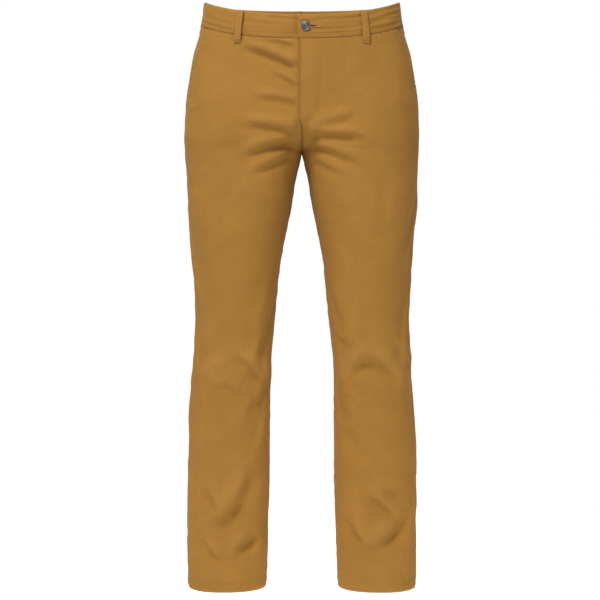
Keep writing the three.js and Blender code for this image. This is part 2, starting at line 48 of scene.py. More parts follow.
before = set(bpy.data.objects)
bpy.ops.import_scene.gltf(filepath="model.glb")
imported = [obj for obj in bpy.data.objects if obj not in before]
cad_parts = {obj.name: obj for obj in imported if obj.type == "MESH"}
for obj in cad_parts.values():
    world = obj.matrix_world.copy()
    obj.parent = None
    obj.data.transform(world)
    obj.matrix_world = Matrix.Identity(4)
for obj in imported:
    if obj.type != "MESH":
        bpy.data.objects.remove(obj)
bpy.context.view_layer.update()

MM = 0.001

# ---- the cut, in millimetres, as the solids have it ----
RISE = 236
INSEAM = 796
HEM_DROP = 4
FORK_TOP = -RISE + 58
SQUARENESS = 0.88
INNER_SHARE = 0.42
BAND_HEIGHT = 41
SIDE_RAISE = 38
BACK_RAISE = 40
FLY_END = 197
FOLD_TOP = 46
FOLD_END = -3
MOUTH_X = 169
MOUTH_END = -161
BUTTON_X = 7
BUTTON_DROP = 20.5
BUTTON_RADIUS = 8.5
HOLE_END = 33
ZIP_X = 7
TOOTH_PITCH = 3.2

# Height, half width to the side seam and to the inseam, depth in front and behind.
STATIONS = np.array(
    [
        (45, 178, 0, 93.5, 95),
        (0, 183.5, 0, 95, 98),
        (-0.27 * RISE, 201, 0, 96.5, 106),
        (-0.585 * RISE, 212, 0, 98, 116),
        (-0.85 * RISE, 215.5, 0, 99, 120),
        (-RISE, 214.6, 0, 99, 117),
    ]
    + [
        (-RISE - at * INSEAM, outer, inner, front, back)
        for at, outer, inner, front, back in (
            (0.06, 211.5, 10.5, 97.5, 109),
            (0.153, 207, 26, 92, 99),
            (0.246, 200.6, 39.5, 85.5, 91),
            (0.339, 195, 48, 79.5, 84),
            (0.4, 194, 52.5, 75, 78.5),
            (0.48, 198, 58.5, 71, 73.5),
            (0.57, 204, 60, 68, 70),
            (0.66, 207, 60.7, 65, 67),
            (0.8, 208, 62, 61, 63),
            (1.0, 208, 67, 57, 58),
        )
    ],
    float,
)
OUTER, INNER, FRONT, BACK = 1, 2, 3, 4


def ease(t):
    """0 to 1, with no corner at either end."""
    t = np.clip(t, 0.0, 1.0)
    return t * t * (3 - 2 * t)


def measure(column, z):
    """One column of the stations at height z, on a smooth curve through them."""
    heights = STATIONS[:, 0]
    values = STATIONS[:, column]
    slopes = np.empty(len(heights))
    slopes[1:-1] = (values[2:] - values[:-2]) / (heights[2:] - heights[:-2])
    slopes[0] = (values[1] - values[0]) / (heights[1] - heights[0])
    slopes[-1] = (values[-1] - values[-2]) / (heights[-1] - heights[-2])
    z = np.asarray(z, float)
    i = np.clip(np.searchsorted(-heights, -z, side="right") - 1, 0, len(heights) - 2)
    span = heights[i + 1] - heights[i]
    t = np.clip((z - heights[i]) / span, -0.5, 1.5)
    t2 = t * t
    t3 = t2 * t
    return (
        (2 * t3 - 3 * t2 + 1) * values[i]
        + (t3 - 2 * t2 + t) * span * slopes[i]
        + (3 * t2 - 2 * t3) * values[i + 1]
        + (t3 - t2) * span * slopes[i + 1]
    )


def power(v):
    return np.sign(v) * np.abs(v) ** SQUARENESS


def section(u, z):
    """x and y of the left half's outer face. u runs from the centre front or inseam (0)
    round the side seam (0.5) to the centre back or inseam (1); below 0 it runs on past
    the centre front."""
    u, z = np.broadcast_arrays(np.asarray(u, float), np.asarray(z, float))
    past = np.where(u < 0, -1.0, 1.0)
    u = np.abs(u)
    outer = measure(OUTER, z)
    inner = np.where(z > -RISE, 0.0, np.maximum(0.0, measure(INNER, z)))
    depth = np.where(u < 0.5, -measure(FRONT, z), measure(BACK, z))
    v = np.where(u < 0.5, 2 * u, 2 - 2 * u)
    quarter = math.pi / 2
    oval = (outer * power(np.sin(v * quarter)), power(np.cos(v * quarter)))
    middle = (outer + inner) / 2
    reach = (outer - inner) / 2
    outside = v > INNER_SHARE
    turn = np.where(outside, (v - INNER_SHARE) / (1 - INNER_SHARE), v / INNER_SHARE) * quarter
    pair = (
        np.where(outside, middle + reach * power(np.sin(turn)), middle * v / INNER_SHARE),
        np.where(outside, power(np.cos(turn)), 1.0),
    )
    leg = (
        np.where(outside, pair[0], middle - reach * power(np.cos(turn))),
        np.where(outside, pair[1], power(np.sin(turn))),
    )
    fill = ease((-z - 40) / (RISE - 50))
    s = np.clip((FORK_TOP - z) / (FORK_TOP + RISE), 0, 1)
    close = 1 - np.sqrt(1 - s * s)
    x, y = ((oval[i] * (1 - fill) + pair[i] * fill) * (1 - close) + leg[i] * close for i in (0, 1))
    return past * x, depth * y


def u_at(x, z, low=0.0, high=0.5):
    """Where on the front half the face is x from the mid plane."""
    x, z = np.broadcast_arrays(np.asarray(x, float), np.asarray(z, float))
    sign = np.where(x < 0, -1.0, 1.0)
    lo = np.full(x.shape, low)
    hi = np.full(x.shape, high)
    for _ in range(36):
        mid = (lo + hi) / 2
        short = section(mid, z)[0] < np.abs(x)
        lo = np.where(short, mid, lo)
        hi = np.where(short, hi, mid)
    return sign * (lo + hi) / 2


def top_edge(u):
    u = np.abs(np.asarray(u, float))
    behind = SIDE_RAISE + (BACK_RAISE - SIDE_RAISE) * np.sin(math.pi * (u - 0.5))
    ahead = SIDE_RAISE * (1 - np.maximum(0.0, np.cos(math.pi * u)) ** 1.4)
    return np.where(u > 0.5, behind, ahead)


def band_seam(u):
    return top_edge(u) - BAND_HEIGHT


def row_height(row, u):
    """0 to 1 from the waistband to the fork, 1 to 2 round the fork, 2 to 3 down the leg."""
    row, u = np.broadcast_arrays(np.asarray(row, float), np.asarray(u, float))
    trunk = band_seam(u) + (FORK_TOP - band_seam(u)) * row
    fork = FORK_TOP - (FORK_TOP + RISE) * np.sin((np.clip(row, 1, 2) - 1) * math.pi / 2)
    hang = HEM_DROP * np.clip((row - 2.6) / 0.4, 0, 1) * np.abs(np.sin(2 * math.pi * u))
    leg = -RISE - INSEAM * (row - 2) - hang
    return np.where(row <= 1, trunk, np.where(row <= 2, fork, leg))


def fly_edge(z):
    """The free edge of the left front, and at the foot of the fly its way to the seam."""
    low = ease((-z - FLY_END + 10) / 14)
    return -(8 - 3 * ease(-z / BAND_HEIGHT)) * (1 - low)


def mouth_u(z):
    """The slanted edge of the front pocket, and below it the side seam."""
    top_u = u_at(MOUTH_X, band_seam(0.4))
    top_z = band_seam(top_u)
    reach = (top_z - z) / (top_z - MOUTH_END)
    return np.minimum(0.5, top_u + (0.5 - top_u) * np.maximum(0.0, reach))


def ripple(a, b, seed, size, waves=7):
    """A smooth random height field of about -1 to 1, with bumps about size across."""
    rng = np.random.default_rng(seed)
    total = np.zeros(np.broadcast(a, b).shape)
    for _ in range(waves):
        angle = rng.uniform(0, math.tau)
        rate = math.tau / (size * rng.uniform(0.8, 1.7))
        total += np.sin(rate * (a * math.cos(angle) + b * math.sin(angle)) + rng.uniform(0, math.tau))
    return total / math.sqrt(waves)


def along_line(x, z, points):
    """Signed distance to a bent line, and how far along it the nearest point is (0 to 1)."""
    points = np.array(points, float)
    lengths = np.hypot(*(points[1:] - points[:-1]).T)
    run = np.concatenate([[0], np.cumsum(lengths)])
    best = np.full(x.shape, 1e9)
    signed = np.zeros(x.shape)
    place = np.zeros(x.shape)
    for k, length in enumerate(lengths):
        (x0, z0), (x1, z1) = points[k], points[k + 1]
        dx, dz = (x1 - x0) / length, (z1 - z0) / length
        t = np.clip((x - x0) * dx + (z - z0) * dz, 0, length)
        ex, ez = x - x0 - t * dx, z - z0 - t * dz
        d = np.hypot(ex, ez)
        nearer = d < best
        best = np.where(nearer, d, best)
        signed = np.where(nearer, np.where(dx * ez - dz * ex < 0, -d, d), signed)
        place = np.where(nearer, (run[k] + t) / run[-1], place)
    return signed, place


def rounded(points, times=2):
    """The same bent line with its corners cut smooth."""
    points = np.array(points, float)
    for _ in range(times):
        if len(points) < 3:
            break
        cut = [points[0]]
        for p, q in zip(points[:-1], points[1:]):
            cut += [p * 0.75 + q * 0.25, p * 0.25 + q * 0.75]
        points = np.array(cut + [points[-1]])
    return points


def fold(x, z, points, width, height, lip=0.0, fade=(0.25, 0.25)):
    """One fold: height across a soft line, with a lip of the other sign above it."""
    d, place = along_line(x, z, rounded(points))
    ends = ease(place / fade[0]) * ease((1 - place) / fade[1])
    past = np.exp(-((d / width) ** 2))
    raised = np.exp(-(((d - 1.7 * width) / (1.2 * width)) ** 2))
    return height * ends * (past - lip * raised)


# ---- folds: a bent line of (x, z), then width, height and lip, all in millimetres ----
# x grows towards the wearer's left, z is 0 at the waistband's top edge. A negative height
# is a valley. Lines run from left to right, so that the lip lies above them.
FRONT_RIGHT_FOLDS = [
    ([(-92, -42), (-50, -48), (-12, -60)], 5, -1.6, 0.7),
    ([(-118, -56), (-60, -76), (-8, -100)], 7, -2.6, 0.8),
    ([(-60, -106), (-30, -118), (-8, -133)], 5, -1.6, 0.6),
    ([(-100, -150), (-50, -154), (-7, -164)], 7, -1.7, 0.7),
    ([(-125, -200), (-60, -204), (-10, -215)], 8, -2.2, 0.8),
    ([(-118, -262), (-60, -240), (-9, -226)], 8, -2.6, 0.8),
    ([(-96, -292), (-50, -268), (-14, -246)], 7, -2.0, 0.7),
    ([(-207, -176), (-178, -160)], 5, -1.2, 0.4),
    ([(-188, -651), (-160, -620), (-136, -600)], 8, 2.6, 0.0),
    ([(-136, -616), (-102, -624), (-70, -668)], 7, -3.0, 0.7),
    ([(-100, -594), (-64, -662)], 7, 2.4, 0.0),
    ([(-178, -676), (-138, -665), (-108, -690)], 6, -1.8, 0.6),
    ([(-104, -716), (-68, -682)], 6, -2.0, 0.5),
    ([(-184, -936), (-127, -906), (-102, -867), (-78, -796)], 9, -4.6, 0.8),
    ([(-126, -984), (-72, -922)], 7, -3.6, 0.7),
    ([(-192, -838), (-150, -900)], 6, -2.8, 0.6),
    ([(-198, -930), (-150, -990)], 6, -3.2, 0.6),
    ([(-190, -760), (-150, -790)], 9, -1.2, 0.4),
]
FRONT_LEFT_FOLDS = [
    ([(18, -204), (60, -196), (108, -180)], 8, -1.6, 0.7),
    ([(8, -218), (60, -219), (126, -226)], 8, -2.6, 0.8),
    ([(10, -236), (60, -252), (112, -274)], 8, -2.4, 0.8),
    ([(14, -256), (50, -278), (88, -300)], 7, -1.4, 0.5),
    ([(176, -145), (208, -176)], 5, -1.2, 0.4),
    ([(74, -662), (111, -620), (140, -632), (180, -666)], 8, -4.2, 0.7),
    ([(72, -664), (106, -592)], 7, 2.6, 0.0),
    ([(148, -604), (194, -672)], 8, 3.0, 0.0),
    ([(170, -568), (197, -628)], 5, 1.6, 0.0),
    ([(74, -683), (97, -694)], 5, -1.6, 0.5),
    ([(118, -972), (165, -944), (204, -884)], 9, -4.6, 0.8),
    ([(106, -858), (178, -914)], 6.5, -3.6, 0.6),
    ([(72, -894), (108, -964)], 6, -3.0, 0.6),
    ([(138, -852), (182, -872)], 6, -2.4, 0.5),
    ([(80, -770), (120, -800)], 9, -1.2, 0.4),
]
# Behind, x is measured outwards from the mid plane on either leg.
BACK_FOLDS = [
    ([(12, -214), (70, -238), (150, -268)], 10, -3.4, 0.7),
    ([(14, -240), (70, -276), (140, -322)], 10, -3.0, 0.7),
    ([(22, -276), (60, -316), (104, -368)], 9, -2.0, 0.6),
    ([(150, -210), (205, -236)], 8, -1.6, 0.5),
    ([(66, -590), (120, -606), (186, -584)], 10, -3.6, 0.7),
    ([(64, -630), (110, -650), (150, -644)], 9, -2.8, 0.7),
    ([(130, -668), (194, -640)], 8, -2.2, 0.6),
    ([(72, -860), (120, -888), (196, -872)], 11, -3.0, 0.6),
    ([(80, -950), (140, -930), (196, -958)], 10, -2.4, 0.6),
    ([(84, -740), (140, -760)], 9, -1.4, 0.5),
]


FOLD_DEPTH = 2.2
KNEE_TOP = -500


# How wide a fold is and how sharp its lip, above the knee and from the knee down.
HIGH_FOLD = (1.1, 1.25)
LOW_FOLD = (1.55, 0.7)


def folded(x, z, folds, mirror=1):
    """All the folds of one panel. They die away outwards, and sooner towards the centre seam."""
    total = np.zeros(x.shape)
    for points, width, height, lip in folds:
        ends = (0.42, 0.42)
        if abs(points[0][0]) < 26 and points[0][1] > KNEE_TOP:
            ends = (0.14, 0.42)
        elif abs(points[-1][0]) < 26 and points[-1][1] > KNEE_TOP:
            ends = (0.42, 0.14)
        low = points[0][1] < KNEE_TOP
        wide, sharp = LOW_FOLD if low else HIGH_FOLD
        total += FOLD_DEPTH * fold(x * mirror, z, points, wide * width, height, sharp * lip, ends)
    return total


def links(rows, cols):
    """Quad corners of a grid, wound to face out when rows run down and columns go round."""
    r, c = np.meshgrid(np.arange(rows - 1), np.arange(cols - 1), indexing="ij")
    a = (r * cols + c).ravel()
    return np.stack([a, a + cols, a + cols + 1, a + 1], 1)


def grid_normals(points):
    """Outward normals of a grid of points whose rows run down and columns go round."""
    down = np.gradient(points, axis=0)
    across = np.gradient(points, axis=1)
    n = np.cross(down, across)
    size = np.linalg.norm(n, axis=2, keepdims=True)
    return n / np.maximum(size, 1e-9)


class Cloth:
    """A grid of cloth, in millimetres, with its normals and its lie in the flat."""

    def __init__(self, points, mirror=False):
        self.points = points
        self.mirror = mirror
        self.normals = grid_normals(points)
        step = np.linalg.norm(np.diff(points, axis=1), axis=2)
        self.across = np.concatenate([np.zeros((len(points), 1)), np.cumsum(step, 1)], 1)
        step = np.linalg.norm(np.diff(points, axis=0), axis=2)
        self.down = np.concatenate([np.zeros((1, points.shape[1])), np.cumsum(step, 0)], 0)

    def raised(self, amount):
        """The same cloth moved out by amount, in millimetres, point by point."""
        moved = Cloth(self.points + self.normals * amount[..., None], self.mirror)
        moved.across, moved.down = self.across, self.down
        return moved

    def sample(self, r, c, lift=0.0):
        """Points lift above the face, at fractional rows and columns."""
        rows, cols = self.points.shape[:2]
        r = np.clip(np.asarray(r, float), 0, rows - 1.001)
        c = np.clip(np.asarray(c, float), 0, cols - 1.001)
        i, j = r.astype(int), c.astype(int)
        fr, fc = (r - i)[:, None], (c - j)[:, None]

        def mixed(a):
            top = a[i, j] * (1 - fc) + a[i, j + 1] * fc
            low = a[i + 1, j] * (1 - fc) + a[i + 1, j + 1] * fc
            return top * (1 - fr) + low * fr

        n = mixed(self.normals)
        n /= np.linalg.norm(n, axis=1, keepdims=True)
        p = mixed(self.points) + n * lift
        if self.mirror:
            p, n = p * (-1, 1, 1), n * (-1, 1, 1)
        return p, n

    def locate(self, x, z):
        """Fractional rows and columns of the points seen at x and z from the front."""
        found = []
        px, pz = self.points[..., 0], self.points[..., 2]
        for a, b in zip(np.atleast_1d(x), np.atleast_1d(z)):
            r, c = np.unravel_index(np.argmin((px - a) ** 2 + (pz - b) ** 2), px.shape)
            r = min(max(r, 1), px.shape[0] - 2)
            c = min(max(c, 1), px.shape[1] - 2)
            jac = np.array(
                [
                    [(px[r + 1, c] - px[r - 1, c]) / 2, (px[r, c + 1] - px[r, c - 1]) / 2],
                    [(pz[r + 1, c] - pz[r - 1, c]) / 2, (pz[r, c + 1] - pz[r, c - 1]) / 2],
                ]
            )
            move = np.linalg.lstsq(jac, np.array([a - px[r, c], b - pz[r, c]]), rcond=None)[0]
            found.append((r + np.clip(move[0], -1.5, 1.5), c + np.clip(move[1], -1.5, 1.5)))
        return np.array(found).T


def new_object(name, points, faces, uv=None, smooth=True):
    """A mesh object from points in millimetres. uv is one (across, down) pair per point."""
    mesh = bpy.data.meshes.new(name)
    mesh.from_pydata((np.asarray(points) * MM).tolist(), [], [list(map(int, f)) for f in faces])
    if uv is not None:
        layer = mesh.uv_layers.new(name="Cloth")
        corner = np.empty(len(mesh.loops), np.int32)
        mesh.loops.foreach_get("vertex_index", corner)
        layer.data.foreach_set("uv", (np.asarray(uv) * MM)[corner].astype(np.float32).ravel())
    if smooth:
        mesh.polygons.foreach_set("use_smooth", [True] * len(mesh.polygons))
    mesh.update()
    obj = bpy.data.objects.new(name, mesh)
    bpy.context.collection.objects.link(obj)
    return obj


def apply_modifiers(obj):
    bpy.context.view_layer.update()
    graph = bpy.context.evaluated_depsgraph_get()
    baked = bpy.data.meshes.new_from_object(obj.evaluated_get(graph))
    old = obj.data
    obj.modifiers.clear()
    obj.data = baked
    baked.name = old.name
    bpy.data.meshes.remove(old)


def cloth_object(name, cloth, thick, marks=None):
    """Makes a sheet of cloth of one thickness, laid inwards from its outer face.
    marks are named fields on the grid, kept as attributes for the material."""
    points = cloth.points.reshape(-1, 3)
    faces = links(*cloth.points.shape[:2])
    if cloth.mirror:
        points = points * (-1, 1, 1)
        faces = faces[:, ::-1]
    uv = np.stack([cloth.across.ravel(), -cloth.down.ravel()], 1)
    obj = new_object(name, points, faces, uv)
    for key, field in (marks or {}).items():
        attribute = obj.data.attributes.new(key, "FLOAT", "POINT")
        attribute.data.foreach_set("value", field.ravel().astype(np.float32))
    solid = obj.modifiers.new("thickness", "SOLIDIFY")
    solid.thickness = thick * MM
    solid.offset = -1
    apply_modifiers(obj)
    return obj


# ---- materials ----
def node(tree, kind, inputs=None, **values):
    made = tree.nodes.new(kind)
    for key, value in values.items():
        setattr(made, key, value)
    for key, value in (inputs or {}).items():
        if isinstance(value, bpy.types.NodeSocket):
            tree.links.new(value, made.inputs[key])
        else:
            made.inputs[key].default_value = value
    return made


def blank(name):
    material = bpy.data.materials.new(name)
    material.use_nodes = True
    tree = material.node_tree
    return material, tree, tree.nodes["Principled BSDF"]


def math_node(tree, operation, a, b=0.5, clamp=False):
    made = node(tree, "ShaderNodeMath", operation=operation, use_clamp=clamp)
    for socket, value in zip(made.inputs, (a, b)):
        if isinstance(value, bpy.types.NodeSocket):
            tree.links.new(value, socket)
        else:
            socket.default_value = value
    return made.outputs[0]


def colour_mix(tree, factor, a, b, blend="MIX"):
    made = node(tree, "ShaderNodeMix", data_type="RGBA", blend_type=blend)
    for key, value in ((0, factor), (6, a), (7, b)):
        if isinstance(value, bpy.types.NodeSocket):
            tree.links.new(value, made.inputs[key])
        else:
            made.inputs[key].default_value = value
    return made.outputs[2]


def shade(colour, k):
    return (*[min(1.0, c * k) for c in colour[:3]], 1.0)


def woven(name, colour, thread=0.9, angle=62.0, relief=0.12, mottle=0.05, rough=0.88, sheen=0.03):
    """Woven cloth: diagonal twill lines crossed by the warp, fibre fuzz, uneven dye, pale
    edges from wear, a painted highlight on fold ridges and painted shade as darker colour in
    the seams and creases. thread is the twill's pitch in millimetres."""
    material, tree, shader = blank(name)
    where = node(tree, "ShaderNodeTexCoord").outputs["UV"]
    solid = node(tree, "ShaderNodeTexCoord").outputs["Object"]

    def lines(turn, pitch, twist=0.35):
        spun = node(
            tree,
            "ShaderNodeMapping",
            {"Vector": where, "Rotation": (0, 0, math.radians(turn)), "Scale": (1, 1, 1)},
        ).outputs[0]
        return node(
            tree,
            "ShaderNodeTexWave",
            {"Vector": spun, "Scale": 1000 / (pitch * 6.4), "Distortion": twist, "Detail": 2.0},
            wave_type="BANDS",
            bands_direction="X",
        ).outputs["Fac"]

    twill = lines(angle, thread)
    warp = lines(0, thread * 0.62)
    weave = math_node(tree, "MULTIPLY", twill, math_node(tree, "ADD", warp, 0.6))
    fuzz = node(
        tree, "ShaderNodeTexNoise", {"Vector": solid, "Scale": 950.0, "Detail": 4.0}
    ).outputs["Fac"]
    grain = node(
        tree, "ShaderNodeTexNoise", {"Vector": solid, "Scale": 210.0, "Detail": 5.0, "Roughness": 0.65}
    ).outputs["Fac"]
    cloud = node(
        tree, "ShaderNodeTexNoise", {"Vector": solid, "Scale": 17.0, "Detail": 4.0}
    ).outputs["Fac"]

    tone = node(tree, "ShaderNodeValToRGB", {"Fac": cloud})
    tone.color_ramp.elements[0].position = 0.3
    tone.color_ramp.elements[0].color = shade(colour, 1 - mottle)
    tone.color_ramp.elements[1].position = 0.7
    tone.color_ramp.elements[1].color = shade(colour, 1 + mottle)
    specks = node(tree, "ShaderNodeValToRGB", {"Fac": grain})
    specks.color_ramp.elements[0].position = 0.34
    specks.color_ramp.elements[0].color = (0.84, 0.83, 0.80, 1)
    specks.color_ramp.elements[1].position = 0.66
    specks.color_ramp.elements[1].color = (1.0, 1.0, 1.0, 1)
    dyed = colour_mix(tree, 0.55, tone.outputs[0], specks.outputs[0], "MULTIPLY")
    ribs = node(tree, "ShaderNodeValToRGB", {"Fac": weave})
    ribs.color_ramp.elements[0].color = (0.66, 0.63, 0.58, 1)
    ribs.color_ramp.elements[1].color = (1.0, 1.0, 1.0, 1)
    dyed = colour_mix(tree, 0.4, dyed, ribs.outputs[0], "MULTIPLY")

    # Paler colour for wear at edges and hems, and a painted highlight on the fold ridges of the leg panels.
    wear_and_ridge_highlight = node(tree, "ShaderNodeAttribute", attribute_name="wear_and_ridge_highlight").outputs["Fac"]
    wear_and_ridge_highlight = math_node(tree, "MULTIPLY", wear_and_ridge_highlight, math_node(tree, "ADD", grain, 0.35), clamp=True)
    dyed = colour_mix(tree, wear_and_ridge_highlight, dyed, shade([min(1, c * 1.28 + 0.035) for c in colour[:3]], 1.0))
    # Painted shade: this attribute darkens the colour at seams, creases, gaps and the pocket mouth, where
    # shade would fall.
    painted_shade = node(tree, "ShaderNodeAttribute", attribute_name="painted_shade").outputs["Fac"]
    dyed = colour_mix(tree, math_node(tree, "MULTIPLY", painted_shade, 0.8, clamp=True), dyed, shade(colour, 0.5))
    tree.links.new(dyed, shader.inputs["Base Color"])

    first = node(
        tree, "ShaderNodeBump", {"Height": weave, "Distance": relief * MM, "Strength": 0.9}
    ).outputs[0]
    second = node(
        tree,
        "ShaderNodeBump",
        {"Height": fuzz, "Distance": 0.09 * MM, "Strength": 0.7, "Normal": first},
    ).outputs[0]
    third = node(
        tree,
        "ShaderNodeBump",
        {"Height": grain, "Distance": 0.22 * MM, "Strength": 0.55, "Normal": second},
    ).outputs[0]
    tree.links.new(third, shader.inputs["Normal"])
    levels = {"Value": grain, "To Min": rough - 0.06, "To Max": rough + 0.08}
    rougher = node(tree, "ShaderNodeMapRange", levels)
    tree.links.new(rougher.outputs[0], shader.inputs["Roughness"])
    shader.inputs["Sheen Weight"].default_value = sheen
    shader.inputs["Sheen Roughness"].default_value = 0.45
    shader.inputs["Specular IOR Level"].default_value = 0.12
    return material


def spun_thread(name, colour):
    """Sewing thread: two plies twisted together, with a soft waxed gloss."""
    material, tree, shader = blank(name)
    where = node(tree, "ShaderNodeTexCoord").outputs["Object"]
    ply = node(
        tree, "ShaderNodeTexNoise", {"Vector": where, "Scale": 2600.0, "Detail": 2.0}
    ).outputs["Fac"]
    tone = node(tree, "ShaderNodeValToRGB", {"Fac": ply})
    tone.color_ramp.elements[0].color = shade(colour, 0.72)
    tone.color_ramp.elements[1].color = shade(colour, 1.15)
    tree.links.new(tone.outputs[0], shader.inputs["Base Color"])
    bump = node(tree, "ShaderNodeBump", {"Height": ply, "Distance": 0.08 * MM, "Strength": 0.8})
    tree.links.new(bump.outputs[0], shader.inputs["Normal"])
    shader.inputs["Roughness"].default_value = 0.62
    shader.inputs["Sheen Weight"].default_value = 0.15
    return material


def metal(name, colour, rough, wear):
    """Cast and tumbled metal: darker in the hollows, brighter where rubbed."""
    material, tree, shader = blank(name)
    where = node(tree, "ShaderNodeTexCoord").outputs["Object"]
    fine = node(
        tree, "ShaderNodeTexNoise", {"Vector": where, "Scale": 1400.0, "Detail": 5.0}
    ).outputs["Fac"]
    broad = node(
        tree, "ShaderNodeTexNoise", {"Vector": where, "Scale": 260.0, "Detail": 3.0}
    ).outputs["Fac"]
    bright = node(tree, "ShaderNodeAttribute", attribute_name="rubbed").outputs["Fac"]
    tone = node(tree, "ShaderNodeValToRGB", {"Fac": broad})
    tone.color_ramp.elements[0].color = shade(colour, 0.78)
    tone.color_ramp.elements[1].color = shade(colour, 1.18)
    rubbed = colour_mix(tree, bright, tone.outputs[0], wear)
    tree.links.new(rubbed, shader.inputs["Base Color"])
    gloss = node(tree, "ShaderNodeMapRange", {"Value": fine, "To Min": rough - 0.1, "To Max": rough + 0.14})
    tree.links.new(gloss.outputs[0], shader.inputs["Roughness"])
    bump = node(tree, "ShaderNodeBump", {"Height": fine, "Distance": 0.03 * MM, "Strength": 0.5})
    tree.links.new(bump.outputs[0], shader.inputs["Normal"])
    shader.inputs["Metallic"].default_value = 1.0
    return material


MATERIALS = {}


def finish_of(key):
    """The material of that finish, made once from the colours in the panel."""
    if key in MATERIALS:
        return MATERIALS[key]
    cloth = tuple(bpy.context.scene.trousers_cloth.colour)
    lining = tuple(bpy.context.scene.trousers_cloth.lining)
    makers = {
        "twill": lambda: woven("cotton_twill", cloth),
        "lining": lambda: woven("pocketing_cotton", lining, 0.5, 45.0, 0.05, 0.03, 0.92, 0.03),
        "tape": lambda: woven("zip_tape_weave", shade(cloth, 0.85), 1.4, 90.0, 0.2, 0.03, 0.8, 0.03),
        "thread": lambda: spun_thread("sewing_thread", shade(cloth, 0.98)),
        "buttonhole": lambda: spun_thread("buttonhole_thread", (0.55, 0.17, 0.035, 1)),
        "brass": lambda: metal("satin_brass", (0.46, 0.34, 0.15), 0.34, (0.72, 0.58, 0.32, 1)),
        "gunmetal": lambda: metal("dark_gunmetal", (0.06, 0.058, 0.062), 0.42, (0.3, 0.29, 0.3, 1)),
    }
    MATERIALS[key] = makers[key]()
    return MATERIALS[key]


def dress(obj, finish):
    obj.data.materials.clear()
    obj.data.materials.append(finish_of(finish))


def place(obj, finish, body="trousers", stands_for=()):
    dress(obj, finish)
    if stands_for:
        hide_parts(*stands_for)
    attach(obj, body)
    return obj


# The line about which the opened fly front folds, as the joint has it.
FOLD_RUN = np.array([FOLD_TOP - FOLD_END, FLY_END], float)
FOLD_RUN /= np.linalg.norm(FOLD_RUN)


def place_over_fold(obj, finish, stands_for=()):
    """For pieces on the fly front side of the fold line: gives the piece its finish, hides the parts it
    stands for and bakes its placement into its points.
    """
    dress(obj, finish)
    if stands_for:
        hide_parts(*stands_for)
    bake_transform(obj)
    return obj


# ---- stitches ----
def stitch_mesh(name, runs, pitch=3.0, length=2.2, radius=0.24, sides=5):
    """Sewn stitches along runs of (points, normals): each one a short thread that dips into
    the cloth at both ends."""
    points = []
    faces = []
    for path, normals in runs:
        step = np.linalg.norm(np.diff(path, axis=0), axis=1)
        run = np.concatenate([[0], np.cumsum(step)])
        single = run[-1] < pitch + length
        starts = [0.0] if single else np.arange(pitch * 0.2, run[-1] - length, pitch)
        reach = run[-1] if single else length
        for start in starts:
            stops = start + reach * np.array([0.0, 0.12, 0.5, 0.88, 1.0])
            p = np.stack([np.interp(stops, run, path[:, i]) for i in range(3)], 1)
            n = np.stack([np.interp(stops, run, normals[:, i]) for i in range(3)], 1)
            n /= np.linalg.norm(n, axis=1, keepdims=True)
            t = p[-1] - p[0]
            t /= np.linalg.norm(t)
            side = np.cross(t, n)
            lift = np.array([-0.3, 0.12, 0.3, 0.12, -0.3])[:, None]
            size = radius * np.array([0.5, 0.95, 1.0, 0.95, 0.5])[:, None]
            base = len(points)
            for k in range(sides):
                a = math.tau * k / sides
                ring = p + n * lift + (side * math.cos(a) + n * math.sin(a) * 0.8) * size
                points.extend(ring)
            for k in range(sides):
                a, b = base + k * 5, base + (k + 1) % sides * 5
                faces += [(a + m, a + m + 1, b + m + 1, b + m) for m in range(4)]
            faces.append([base + k * 5 for k in range(sides)])
            faces.append([base + k * 5 + 4 for k in reversed(range(sides))])
    return new_object(name, points, faces)


def bar_tack(centre, along, normal, width, height):
    """A dense bar of thread: close satin stitches across a short line."""
    runs = []
    count = max(4, int(width / 0.42))
    up = np.cross(normal, along)
    for i in range(count):
        s = (i + 0.5) / count - 0.5
        mid = centre + along * width * s
        path = np.array([mid - up * height / 2, mid + up * height / 2])
        runs.append((path, np.array([normal, normal])))
    return runs


DRAPES = {}


